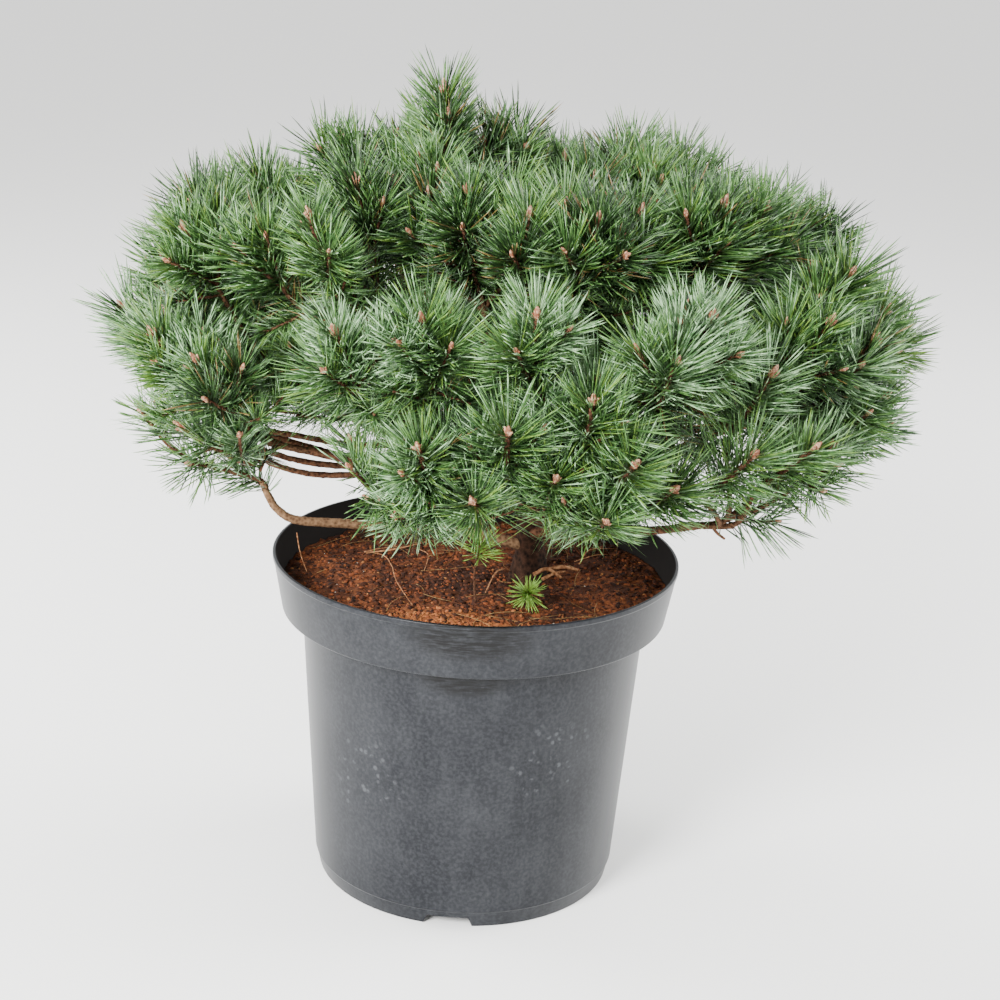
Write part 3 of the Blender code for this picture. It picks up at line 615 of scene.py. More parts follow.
def trunk_share(height):
    """How far up the trunk a height is: 0 at its foot and 1 at its tip."""
    return (height - TRUNK_FOOT.z) / (TRUNK_TIP.z - TRUNK_FOOT.z)


class Mass:
    """Where one mass of foliage lies, how its bough reaches it and which space is its own."""

    def __init__(self, row):
        self.name, self.azimuth, elevation, self.reach, spread, root_share, sag, self.leaves_trunk = row
        self.heading = direction(self.azimuth, elevation)
        self.spread = math.radians(spread)
        self.length = dome_reach(self.heading) * self.reach
        flat = Vector((self.heading.x, self.heading.y, 0.0))
        self.root = FORK + self.heading * self.length * root_share
        self.root.z -= sag
        self.stem_heading = (self.heading + flat * STEM_FLATNESS).normalized()
        self.is_leader = self.leaves_trunk is None
        if self.is_leader:
            last_ring = ((TRUNK_RINGS - 2) / (TRUNK_RINGS - 1)) ** RING_POWER
            self.stem_heading = (TRUNK_TIP - trunk_point(last_ring)).normalized()
            self.root = TRUNK_TIP + self.stem_heading * GAP
        self.walls = []
        self.tips = []

    def bough_points(self, count):
        """From the trunk out to the stem's foot, as a curve and one more point."""
        start = trunk_point(trunk_share(self.leaves_trunk))
        flat = Vector((self.root.x - start.x, self.root.y - start.y, 0.0))
        run = flat.length
        out = flat.normalized()
        rise = self.root.z - start.z
        leave = start + out * run * BOUGH_LEAVE + Vector((0.0, 0.0, BOUGH_LEAVE_RISE * rise))
        end = self.root - self.stem_heading * BOUGH_END
        arrive = end - self.stem_heading * run * BOUGH_ARRIVE
        return bezier(start, leave, arrive, end, count) + [self.root]

    def stem_points(self):
        """From the bough's end outward, bending towards the middle of the mass's space."""
        run = STEM_SHARE * (self.length - SHOOT_LENGTH - (self.root - FORK).dot(self.heading))
        half_way = self.root + self.stem_heading * run * 0.5
        return [self.root, half_way, half_way + self.heading * run * 0.5]

    def holds(self, point, margin=CELL_MARGIN):
        """True where a point is inside the mass's own cone of space."""
        return all((point - FORK).dot(wall) > margin for wall in self.walls)


def lay_out_masses():
    """All masses, each with the walls between its cone of space and the others'."""
    masses = [Mass(row) for row in MASSES]
    for one in masses:
        for other in masses:
            if other is not one:
                one.walls.append((one.heading - other.heading).normalized())
    return masses


def spread_tips(masses):
    """Even headings over the sphere by the golden angle; a shoot's middle says whose it is."""
    rng = random.Random(11)
    golden = math.pi * (3.0 - math.sqrt(5.0))
    for mass in masses:
        mass.tips.append((FORK + mass.heading * mass.length, mass.heading, 0.0))
    for index in range(SHOOTS_ON_SPHERE):
        height = 1.0 - 2.0 * (index + 0.5) / SHOOTS_ON_SPHERE
        flat = math.sqrt(1.0 - height * height)
        turn = golden * index
        heading = Vector((flat * math.cos(turn), flat * math.sin(turn), height))
        jitter = rng.uniform(-REACH_JITTER, REACH_JITTER)
        middle = heading * dome_reach(heading) - shoot_aim(heading) * SHOOT_LENGTH / 2.0
        mass = min(masses, key=lambda candidate: middle.angle(candidate.heading))
        off_axis = middle.angle(mass.heading) / mass.spread
        if off_axis > 1.0 or heading.angle(mass.heading) < AXIS_CLEARANCE:
            continue
        rounding = 1.0 - (LEADER_ROUNDING if mass.is_leader else CLUMP_ROUNDING) * off_axis ** 2
        reach = dome_reach(heading) * mass.reach * rounding * (1.0 + jitter)
        mass.tips.append((FORK + heading * reach, heading, off_axis))


def segment_distance(start_a, end_a, start_b, end_b):
    """The least distance between two straight lengths."""
    run_a, run_b, between = end_a - start_a, end_b - start_b, start_a - start_b
    aa, bb, ab = run_a.dot(run_a), run_b.dot(run_b), run_a.dot(run_b)
    ad, bd = run_a.dot(between), run_b.dot(between)
    slant = aa * bb - ab * ab
    s = min(max((ab * bd - ad * bb) / slant, 0.0), 1.0) if slant > 1e-12 else 0.0
    t = min(max((ab * s + bd) / bb, 0.0), 1.0)
    s = min(max((ab * t - ad) / aa, 0.0), 1.0)
    return (between + run_a * s - run_b * t).length


class Limbs:
    """The bare limbs as short straight lengths, to keep foliage clear of them."""

    def __init__(self):
        self.lengths = []

    def add(self, points, radii, owner=None):
        for index in range(len(points) - 1):
            radius = max(radii[index], radii[index + 1])
            self.lengths.append((points[index], points[index + 1], radius, owner))

    def touched(self, start, end, thickness, owner):
        """True where a length comes too near a limb that isn't the owner's own stem."""
        return any(segment_distance(start, end, foot, head) < thickness + radius + LIMB_MARGIN
                   for foot, head, radius, whose in self.lengths if whose is not owner)


def along(points, share):
    """The point at a share of a path of equal lengths."""
    place = min(max(share, 0.0), 1.0) * (len(points) - 1)
    index = min(int(place), len(points) - 2)
    return points[index].lerp(points[index + 1], place - index)


class Shoot:
    """One shoot: the path of its axis, its year's place in the crown and its needles' size."""

    def __init__(self, path, kind, depth, radius):
        self.path = path
        self.kind = kind
        self.depth = depth
        self.radius = radius


def taper(first, last, count):
    """Even steps from the first value to the last."""
    return [first + (last - first) * index / (count - 1) for index in range(count)]


def gentle_path(start, aim, length, rng, count=4):
    """A shoot's axis: nearly straight, turning up a little towards its tip."""
    lift = UP * rng.uniform(0.02, 0.10) * length
    sway = Vector((rng.uniform(-1, 1), rng.uniform(-1, 1), rng.uniform(-1, 1))) * 0.03 * length
    points = []
    for index in range(count):
        t = index / (count - 1)
        points.append(start + aim * length * t + lift * t * (t - 1.0) + sway * math.sin(math.pi * t))
    return points


def crown_depth(point, mass):
    """How far out a point lies in the crown: 1 at the dome of buds."""
    offset = point - FORK
    return offset.length / (dome_reach(offset.normalized()) * mass.reach)


def clear_of_pot(point):
    """True away from the soil and the pot's rim."""
    out = math.hypot(point.x, point.y)
    if out > RIM_RADIUS + 0.020:
        return True
    return point.z > (POT_HEIGHT + 0.012 if out > RIM_RADIUS - 0.025 else SOIL_TOP + 0.020)


def in_the_open(points, slack):
    """True for points under the crown or in one of the openings where bare limbs show. Slack
    raises the crown's underside and shifts the openings, so that no edge is sharp."""
    out = np.hypot(points[:, 0], points[:, 1])
    bare = points[:, 2] < SKIRT_FOOT + SKIRT_SLOPE * out + slack
    from_fork = points - np.array(FORK)
    level = np.hypot(from_fork[:, 0], from_fork[:, 1])
    azimuth = np.degrees(np.arctan2(from_fork[:, 1], from_fork[:, 0])) % 360.0 + slack * SLACK_TURN
    elevation = np.degrees(np.arctan2(from_fork[:, 2], level))
    for first, last, top, begins, ends in OPENINGS:
        bare |= ((azimuth > first) & (azimuth < last) & (elevation < top)
                 & (level > begins) & (level < ends))
    return bare


def has_room(tip, slack=SHOOT_SLACK):
    """True for a shoot's tip that is clear of the pot and of the places that stay bare."""
    return clear_of_pot(tip) and not in_the_open(np.array([tip]), slack)[0]


def outward_at(aim, turn):
    """A heading square to the aim, turned about it."""
    return Matrix.Rotation(turn, 3, aim) @ aim.orthogonal().normalized()


def side_shoots(mass, base, aim, rng):
    """The whorl of weaker shoots that starts where the main shoot does."""
    grown = []
    first_turn = rng.uniform(0.0, 2.0 * math.pi)
    count = rng.choice(SIDE_SHOOT_COUNTS)
    for index in range(count):
        turn = first_turn + 2.0 * math.pi * (index + rng.uniform(-0.15, 0.15)) / count
        lean = math.radians(rng.uniform(*SIDE_SHOOT_LEANS))
        heading = aim * math.cos(lean) + outward_at(aim, turn) * math.sin(lean) + UP * 0.20
        heading.normalize()
        start = base + aim * rng.uniform(*SIDE_SHOOT_FEET)
        length = rng.uniform(*SIDE_SHOOT_LENGTHS)
        end = start + heading * length
        depth = crown_depth(end, mass)
        if depth <= SIDE_REACH and has_room(end):
            grown.append(Shoot(gentle_path(start, heading, length, rng), "side", depth, SIDE_SHOOT_RADIUS))
    return grown


def inner_shoots(mass, twig, rng):
    """Short shoots along an older twig, which fill the crown behind its surface."""
    grown = []
    aim = (twig[-1] - twig[0]).normalized()
    for share in INNER_SHOOT_SHARES:
        if rng.random() < INNER_SHOOTS_MISSING:
            continue
        outward = outward_at(aim, rng.uniform(0.0, 2.0 * math.pi))
        lean = math.radians(rng.uniform(*INNER_SHOOT_LEANS))
        heading = (aim * math.cos(lean) + outward * math.sin(lean) + UP * 0.15).normalized()
        start = along(twig, share)
        length = rng.uniform(*INNER_SHOOT_LENGTHS)
        end = start + heading * length
        if has_room(end):
            path = gentle_path(start, heading, length, rng)
            grown.append(Shoot(path, "inner", crown_depth(end, mass), INNER_SHOOT_RADIUS))
    return grown


def bough_shoots(mass, rng):
    """Short dim shoots along a bough's outer part; the boughs on the bare side carry none."""
    if mass.is_leader or BARE_SIDE[0] < mass.azimuth < BARE_SIDE[1]:
        return []
    grown = []
    bough = mass.bough_points(9)
    for share in BOUGH_SHOOT_SHARES:
        aim = (along(bough, share + 0.05) - along(bough, share - 0.05)).normalized()
        outward = outward_at(aim, rng.uniform(0.0, 2.0 * math.pi))
        heading = (aim * 0.5 + outward + UP * 0.35).normalized()
        start = along(bough, share)
        length = rng.uniform(*INNER_SHOOT_LENGTHS)
        if has_room(start + heading * length, 0.0):
            path = gentle_path(start, heading, length, rng)
            grown.append(Shoot(path, "inner", 0.0, INNER_SHOOT_RADIUS))
    return grown


def low_sprays(mass, rng):
    """The thin sprays of a low bough: needles along its outer part and on short side shoots."""
    path = [Vector(point) for point in LOW_BOUGHS[mass.name][1]]
    end_radius, side_radius = SPARSE_SHOOT_RADII
    half = len(path) // 2
    shoots = [Shoot(path[:half + 1], "sparse", 1.0, 0.0), Shoot(path[half:], "sparse", 1.0, end_radius)]
    aim = (path[-1] - path[0]).normalized()
    for share, turn in LOW_SIDE_SHOOTS:
        heading = (aim + outward_at(aim, math.radians(turn)) * 0.8).normalized()
        side = gentle_path(along(path, share), heading, LOW_SIDE_SHOOT_LENGTH, rng)
        shoots.append(Shoot(side, "sparse", 1.0, side_radius))
    return [(path, taper(BOUGH_TIP_RADIUS * 0.8, end_radius, len(path)))], shoots


def fill_shoots(rng):
    """Small sprays, each on a thin twig from the trunk, where the masses leave the crown too open."""
    twigs, shoots = [], []
    foot = trunk_point(trunk_share(FILL_TWIGS_LEAVE))
    for middle, half_size, count, azimuths in FILLS:
        for _ in range(count):
            start = Vector(middle) + Vector([rng.uniform(-1.0, 1.0) * half for half in half_size])
            heading = direction(rng.uniform(*azimuths), rng.uniform(*FILL_ELEVATIONS))
            kind = rng.choice(("side", "inner"))
            length = rng.uniform(*INNER_SHOOT_LENGTHS)
            twig = bezier(foot, foot.lerp(start, 0.5), start - heading * 0.03, start, 5)
            twigs.append((twig, taper(*FILL_TWIG_RADII, 5)))
            spray_path = gentle_path(start, heading, length, rng)
            shoots.append(Shoot(spray_path, kind, FILL_DEPTH, FILL_TWIG_RADII[1]))
    return twigs, shoots


def twig_to(mass, stem, limbs, tip, heading, off_axis):
    """The part's twig whose shoot ends at a tip, with the shoot's aim and length, or None where
    the shoot or the twig would leave the mass's space or touch a limb."""
    aim = shoot_aim(heading)
    lengths = [SHOOT_LENGTH * share for share in SHORTER_SHARES
               if mass.holds(tip - aim * SHOOT_LENGTH * share)]
    if not lengths or not mass.holds(tip, CORE_INSIDE):
        return None
    base = tip - aim * lengths[0]
    if limbs.touched(base, tip, CORE_RADIUS, mass):
        return None
    fork = along(stem, 1.0 - FORK_SHARE - FORK_SPREAD * off_axis)
    reach = (base - fork).length
    leave, arrive = fork + mass.heading * reach * TWIG_LEAVE, base - aim * reach * TWIG_ARRIVE
    coarse = bezier(fork, leave, arrive, base, 3)
    coarse[-1] = base + aim * lengths[0] * TWIG_OVERLAP
    if any(limbs.touched(coarse[k], coarse[k + 1], TWIG_RADIUS, mass) for k in range(2)):
        return None
    return bezier(fork, leave, arrive, base, TWIG_POINTS), aim, lengths[0]


def grow_mass(mass, limbs, rng):
    """The part's twigs and shoots for one mass, then the finer ones on them."""
    if mass.name == "low_left":
        return low_sprays(mass, rng)
    stem = mass.stem_points()
    twigs, shoots = [(stem, list(STEM_RADII))], []
    is_low = mass.name in LOW_BOUGHS
    for tip, heading, off_axis in mass.tips:
        found = twig_to(mass, stem, limbs, tip, heading, off_axis)
        if found is None:
            continue
        twig, aim, length = found
        base = twig[-1]
        twigs.append((twig, taper(*TWIG_RADII, TWIG_POINTS)))
        shoots.append(Shoot(gentle_path(base, aim, length, rng), "main", 1.0, MAIN_SHOOT_RADIUS))
        old = [along(twig, OLD_NEEDLES_BEGIN + (1.0 - OLD_NEEDLES_BEGIN) * k / 3.0) for k in range(4)]
        shoots.append(Shoot(old, "old", crown_depth(base, mass), 0.0))
        if not is_low:
            shoots += side_shoots(mass, base, aim, rng) + inner_shoots(mass, twig, rng)
    if not is_low:
        return twigs, shoots + bough_shoots(mass, rng)
    laid, sprays = low_sprays(mass, rng)
    joint = Vector(LOW_BOUGHS[mass.name][0][-2])
    link = bezier(joint, joint.lerp(mass.root, 0.4), mass.root - mass.stem_heading * 0.012, mass.root, 5)
    return twigs + laid + [(link, taper(BOUGH_TIP_RADIUS, STEM_RADII[0], 5))], shoots + sprays


# Limbs as meshes


def sweep(points, radii, sides, rings, relief=None):
    """A closed limb along the points: a straight tube of rings, bent and tapered ring by ring."""
    work = bmesh.new()
    circle = bmesh.ops.create_circle(work, segments=sides, radius=1.0)
    bmesh.ops.spin(work, geom=circle["verts"] + work.edges[:], axis=(0, 0, 1), cent=(0, 0, 0),
                   dvec=(0, 0, 1), angle=0.0, steps=rings, use_merge=False)
    bmesh.ops.holes_fill(work, edges=work.edges, sides=sides)
    centres, across, beside = [], [], []
    previous = None
    for ring in range(rings + 1):
        share = ring / rings
        ahead = along(points, share + 0.5 / rings) - along(points, share - 0.5 / rings)
        ahead.normalize()
        side = ahead.orthogonal() if previous is None else previous - ahead * previous.dot(ahead)
        side.normalize()
        previous = side
        centres.append(smooth_point(points, share))
        across.append(side)
        beside.append(ahead.cross(side))
    for vert in work.verts:
        ring = int(round(vert.co.z))
        share = ring / rings
        turn = math.atan2(vert.co.y, vert.co.x)
        radius = float(np.interp(share * (len(radii) - 1), range(len(radii)), radii))
        if relief is not None:
            radius += relief(share, turn)
        vert.co = centres[ring] + (across[ring] * math.cos(turn) + beside[ring] * math.sin(turn)) * radius
    bmesh.ops.recalc_face_normals(work, faces=work.faces)
    return work


def smooth_point(points, share):
    """A point on the smooth curve through the points, by the Catmull-Rom rule."""
    place = min(max(share, 0.0), 1.0) * (len(points) - 1)
    index = min(int(place), len(points) - 2)
    t = place - index
    one, two = points[index], points[index + 1]
    before = points[index - 1] if index > 0 else one * 2.0 - two
    after = points[index + 2] if index + 2 < len(points) else two * 2.0 - one
    return 0.5 * (2.0 * one + (two - before) * t + (2.0 * before - 5.0 * one + 4.0 * two - after) * t * t
                  + (3.0 * one - before - 3.0 * two + after) * t ** 3)


def add_to(whole, piece):
    """Moves a finished bmesh into a bigger one."""
    mesh = bpy.data.meshes.new("passing")
    piece.to_mesh(mesh)
    piece.free()
    whole.from_mesh(mesh)
    bpy.data.meshes.remove(mesh)


def bark_relief(height, around, seed):
    """Ridges and scale cushions that run along a limb."""
    def relief(share, turn):
        place = Vector((math.cos(turn) * around, math.sin(turn) * around, share * 40.0 + seed))
        ridge = 1.0 - abs(noise.noise(place))
        lump = noise.noise(Vector((place.x * 2.3, place.y * 2.3, share * 95.0 + seed * 1.7)))
        return height * (ridge - 0.8) + height * 0.6 * lump
    return relief


def make_trunk(bark):
    """The trunk with cracked plates and a root flare, standing a little deep in the compost."""
    points = [trunk_point(index / 24.0) for index in range(25)]
    radii = [trunk_radius(index / 24.0) for index in range(25)]
    points[0] = points[0] - UP * TRUNK_SUNK

    def relief(share, turn):
        place = Vector((math.cos(turn) * 1.6, math.sin(turn) * 1.6, share * 16.0))
        plates = 1.0 - 2.0 * abs(noise.noise(place))
        crumble = noise.noise(place * 3.1)
        fading = 1.0 - 0.6 * share
        buttress = BUTTRESS_HEIGHT * math.exp(-share / 0.06) * math.cos(3.0 * turn + 0.6)
        return fading * (PLATE_HEIGHT * plates + CRUMBLE_HEIGHT * crumble) + buttress

    work = sweep(points, radii, 40, 220, relief)
    for vert in work.verts:
        vert.co.z = max(vert.co.z, SOIL_TOP - TRUNK_SUNK)
    piece = show_piece("trunk_bark", finished_mesh("trunk_bark", work), bark)
    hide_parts("trunk")


def make_boughs(masses, bark, pale_bark):
    """All boughs, the bare ones at the left and the dead stub in one mesh, apart from the low left
    bough, whose bark is paler."""
    dark, pale = bmesh.new(), bmesh.new()
    replaced = []
    for number, mass in enumerate(masses):
        if mass.is_leader:
            continue
        points = mass.bough_points(9)
        if mass.name in LOW_BOUGHS:
            points = [Vector(point) for point in LOW_BOUGHS[mass.name][0]]
        radii = taper(BOUGH_RADIUS, BOUGH_TIP_RADIUS, len(points))
        rings = int((points[-1] - points[0]).length / BOUGH_RING_SPACING)
        limb = sweep(points, radii, 14, rings, bark_relief(BOUGH_RELIEF, 1.7, 7.0 * number))
        if mass.name == "low_left":
            add_to(pale, limb)
        else:
            add_to(dark, limb)
            replaced.append("bough_" + mass.name)
    for number, points in enumerate(BARE_BOUGHS):
        relief = bark_relief(BOUGH_RELIEF, 1.7, 300.0 + 7.0 * number)
        add_to(dark, sweep([Vector(point) for point in points], BARE_BOUGH_RADII, 12, 110, relief))
    add_to(dark, sweep([Vector(point) for point in DEAD_STUB], DEAD_STUB_RADII, 7, 8))
    piece = show_piece("boughs_bark", finished_mesh("boughs_bark", dark), bark)
    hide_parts(*replaced)
    low = show_piece("low_left_bough_bark", finished_mesh("low_left_bough_bark", pale), pale_bark)
    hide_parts("bough_low_left")


def make_twigs(older, shoots, wood, green_wood):
    """Stems and older twigs in one mesh, the youngest shoots' axes in another."""
    whole, young = bmesh.new(), bmesh.new()
    for number, (points, radii) in enumerate(older):
        rings = 4 * (len(points) - 1) if len(points) > 3 else 12
        add_to(whole, sweep(points, radii, 7, rings, bark_relief(TWIG_RELIEF, 1.2, 3.0 * number)))
    for shoot in shoots:
        if shoot.radius > 0.0:
            add_to(young, sweep(shoot.path, taper(shoot.radius, shoot.radius * 0.85, 4), 6, 4))
    show_piece("twigs_older", finished_mesh("twigs_older", whole), wood)
    show_piece("twigs_young", finished_mesh("twigs_young", young), green_wood)


# Many small things from one small shape


def small_shape(work):
    """The points and triangles of a small closed shape."""
    bmesh.ops.triangulate(work, faces=work.faces)
    bmesh.ops.recalc_face_normals(work, faces=work.faces)
    work.verts.ensure_lookup_table()
    points = np.array([vert.co[:] for vert in work.verts])
    triangles = np.array([[vert.index for vert in face.verts] for face in work.faces])
    work.free()
    return points, triangles


def needle_shape():
    """A slim three-sided needle of unit length, of even width up to a short point."""
    work = bmesh.new()
    bmesh.ops.create_cone(work, cap_ends=True, segments=3, radius1=0.75, radius2=1.0, depth=0.80)
    bmesh.ops.translate(work, vec=(0.0, 0.0, 0.40), verts=work.verts)
    top = max(work.faces, key=lambda face: face.calc_center_median().z)
    tip = bmesh.ops.poke(work, faces=[top])["verts"][0]
    tip.co = (0.0, 0.0, 1.0)
    return small_shape(work)


def spike_shape():
    """The plainest needle, of four triangles."""
    work = bmesh.new()
    bmesh.ops.create_cone(work, cap_ends=True, segments=3, radius1=1.1, radius2=0.0, depth=1.0)
    bmesh.ops.translate(work, vec=(0.0, 0.0, 0.5), verts=work.verts)
    return small_shape(work)


def bud_shape():
    """A bud of unit length and radius, widest below its middle and pointed."""
    work = bmesh.new()
    bmesh.ops.create_uvsphere(work, u_segments=7, v_segments=5, radius=1.0)
    for vert in work.verts:
        height = (vert.co.z + 1.0) / 2.0
        narrow = 1.0 - 0.55 * height ** 1.5
        vert.co = (vert.co.x * narrow, vert.co.y * narrow, height)
    return small_shape(work)


def crumb_shape():
    """A rough crumb of unit radius."""
    work = bmesh.new()
    bmesh.ops.create_icosphere(work, subdivisions=1, radius=1.0)
    rng = random.Random(5)
    for vert in work.verts:
        vert.co *= rng.uniform(0.7, 1.15)
    return small_shape(work)


def fibre_shape():
    """A thin three-sided fibre of unit length in four lengths, to be bent."""
    work = bmesh.new()
    circle = bmesh.ops.create_circle(work, segments=3, radius=1.0)
    bmesh.ops.spin(work, geom=circle["verts"] + work.edges[:], axis=(0, 0, 1), cent=(0, 0, 0),
                   dvec=(0, 0, 0.25), angle=0.0, steps=4, use_merge=False)
    bmesh.ops.holes_fill(work, edges=work.edges, sides=3)
    return small_shape(work)


def unit(vectors):
    """The vectors at unit length."""
    return vectors / np.maximum(np.linalg.norm(vectors, axis=1, keepdims=True), 1e-9)


def copies(shape, bases, headings, lengths, widths, thicknesses, bends=None, rolls=None):
    """Points and triangles of many copies of a shape, each laid along its heading and bent."""
    points, triangles = shape
    count = len(bases)
    helper = np.where(np.abs(headings[:, 2:3]) < 0.9, [[0.0, 0.0, 1.0]], [[1.0, 0.0, 0.0]])
    side = unit(np.cross(headings, helper))
    over = np.cross(headings, side)
    if rolls is not None:
        turn, rise = np.cos(rolls)[:, None], np.sin(rolls)[:, None]
        side, over = side * turn + over * rise, over * turn - side * rise
    z = points[None, :, 2:3]
    placed = (bases[:, None, :] + headings[:, None, :] * z * lengths[:, None, None]
              + side[:, None, :] * points[None, :, 0:1] * widths[:, None, None]
              + over[:, None, :] * points[None, :, 1:2] * thicknesses[:, None, None])
    if bends is not None:
        placed = placed + bends[:, None, :] * z * z * lengths[:, None, None]
    index = triangles[None, :, :] + (np.arange(count) * len(points))[:, None, None]
    return placed.reshape(-1, 3), index.reshape(-1, 3)


def mesh_of_copies(name, points, triangles):
    """A smooth mesh made straight from arrays of points and triangles."""
    mesh = bpy.data.meshes.new(name)
    mesh.vertices.add(len(points))
    mesh.vertices.foreach_set("co", points.astype(np.float32).ravel())
    mesh.loops.add(triangles.size)
    mesh.loops.foreach_set("vertex_index", triangles.astype(np.int32).ravel())
    mesh.polygons.add(len(triangles))
    mesh.polygons.foreach_set("loop_start", np.arange(0, triangles.size, 3, dtype=np.int32))
    mesh.polygons.foreach_set("use_smooth", np.ones(len(triangles), dtype=bool))
    mesh.update(calc_edges=True)
    return mesh


class Needles:
    """Needles waiting to be meshed: where each starts, points and bends, and its colour's number."""

    def __init__(self):
        self.rows = []

    def add(self, bases, headings, bends, lengths, tones, plain):
        kinds = np.full(len(bases), float(plain))
        self.rows.append(np.column_stack([bases, headings, bends, lengths, tones, kinds]))

    def of_kind(self, tone, plain):
        rows = np.concatenate(self.rows)
        return rows[(rows[:, 10].astype(int) == tone) & (rows[:, 11] == float(plain))]


# Needle pairs on a shoot of each kind, where along it they start and end, their leans in degrees
# from the shoot at its foot and at its tip, their length as a share of the longest, and whether
# they are plain spikes, as behind the crown's surface.
SPRAYS = {
    "main": (102, 0.08, 0.96, 64, 34, 1.00, False),
    "side": (74, 0.10, 0.96, 62, 36, 0.92, False),
    "sparse": (40, 0.05, 0.97, 64, 40, 0.80, False),
    "inner": (44, 0.12, 0.96, 64, 34, 0.86, True),
    "old": (44, 0.00, 1.00, 74, 56, 0.95, True),
}
# The shoots above this height take darker tones, painted shade on the crown's top, so their draw is
# narrowed to a foot and a range that give the deeper tones.
CROWN_TOP = 0.575
TOP_PAINTED_SHADE_DRAW = (0.06, 0.30)
TONES = ("glaucous", "green", "fresh", "shade", "old")
NEEDLE_COLOURS = (
    ("pine_needle_glaucous", "#a1c395", "#4c7446"),
    ("pine_needle_green", "#628a48", "#34582b"),
    ("pine_needle_fresh", "#76983e", "#476a26"),
    # The shaded tone is painted shade: a darker green for needles inside the crown and on its top, and
    # mixed in among the others.
    ("pine_needle_painted_shade", "#35522a", "#182c16"),
    ("pine_needle_withered", "#86703f", "#564224"),
)
GLAUCOUS, GREEN, FRESH, SHADE, OLD = range(5)
TONE_NEIGHBOURS = {
    GLAUCOUS: (GREEN, GREEN, SHADE),
    GREEN: (GLAUCOUS, FRESH, SHADE),
    FRESH: (GREEN, GREEN, GLAUCOUS),
    SHADE: (GREEN, GREEN, GREEN, SHADE, OLD),
}
# The share of a spray's needles that keep its own tone; the others take a neighbour's.
SAME_TONE = 0.64
# How far the two needles of a pair part, how they bend, and how their lengths vary.
PAIR_SPREAD = (0.05, 0.16)
NEEDLE_BEND = (0.0, 0.12)
LENGTH_SPREAD = (0.84, 1.06)


def tone_of(shoot, rng):
    """Deals a spray its colour by kind and place: bluer and paler on the outside, with painted
    shade, darker tones, inside the crown and on its top."""
    draw = rng.random()
    # Painted shade: shoots on the crown's top draw darker tones.
    if shoot.path[-1].z > CROWN_TOP:
        draw = TOP_PAINTED_SHADE_DRAW[0] + TOP_PAINTED_SHADE_DRAW[1] * draw
    # Painted shade: old twigs and shoots inside the crown take the shaded tone more often.
    if shoot.kind == "old":
        return SHADE if draw < 0.55 else GREEN
    if shoot.kind == "inner" or shoot.depth < 0.72:
        return SHADE if draw < 0.30 else GREEN
    if draw < 0.05:
        return FRESH
    if draw < 0.14:
        return SHADE
    return GREEN if draw < 0.56 else GLAUCOUS


def spray(shoot, needles, rng):
    """Needle pairs spiralling up a shoot, wide open at its foot and closing round the bud."""
    pairs, first, last, foot_lean, tip_lean, size, plain = SPRAYS[shoot.kind]
    path = np.array([point[:] for point in shoot.path])
    share = first + (last - first) * (np.arange(pairs) + rng.random(pairs)) / pairs
    place = share * (len(path) - 1)
    steps = range(len(path))
    bases = np.column_stack([np.interp(place, steps, path[:, axis]) for axis in range(3)])
    ahead = np.gradient(path, axis=0)
    ahead = unit(np.column_stack([np.interp(place, steps, ahead[:, axis]) for axis in range(3)]))
    run = shoot.path[-1] - shoot.path[0]
    is_upright = abs(run.z) > 0.8 * run.length
    side = unit(np.cross(ahead, [1.0, 0.0, 0.0] if is_upright else [0.0, 0.0, 1.0]))
    over = np.cross(ahead, side)
    turn = np.arange(pairs) * NEEDLE_TURN + rng.random() * FULL_TURN + rng.normal(0.0, 0.25, pairs)
    outward = side * np.cos(turn)[:, None] + over * np.sin(turn)[:, None]
    around = np.cross(ahead, outward)
    lean = np.radians(foot_lean + (tip_lean - foot_lean) * share ** 1.6 + rng.normal(0.0, 6.0, pairs))
    tone = tone_of(shoot, rng)
    vigour = rng.uniform(*VIGOUR)
    for sign in (-1.0, 1.0):
        heading = (ahead * np.cos(lean)[:, None] + outward * np.sin(lean)[:, None]
                   + around * sign * rng.uniform(*PAIR_SPREAD, pairs)[:, None])
        heading = unit(heading + NEEDLES_TURN_UP + rng.normal(0.0, 0.04, (pairs, 3)))
        bends = ahead * rng.uniform(*NEEDLE_BEND, pairs)[:, None] + around * sign * -0.05
        lengths = NEEDLE_LENGTH * size * vigour * rng.uniform(*LENGTH_SPREAD, pairs)
        others = rng.random(pairs) >= SAME_TONE
        tones = np.where(others, rng.choice(TONE_NEIGHBOURS[tone], pairs), tone)
        ends = bases + heading * lengths[:, None]
        kept = above_pot(ends)
        if shoot.kind != "sparse":
            kept &= ~in_the_open(ends, rng.normal(0.0, 0.006, pairs))
        needles.add(bases[kept], heading[kept], bends[kept], lengths[kept], tones[kept], plain)


def above_pot(ends):
    """True for needle ends that clear the compost and the pot's rim."""
    out = np.hypot(ends[:, 0], ends[:, 1])
    over_soil = np.where(out > RIM_RADIUS - 0.012, POT_HEIGHT + 0.004, SOIL_TOP + 0.003)
    return ends[:, 2] > np.where(out > RIM_RADIUS + 0.006, 0.0, over_soil)


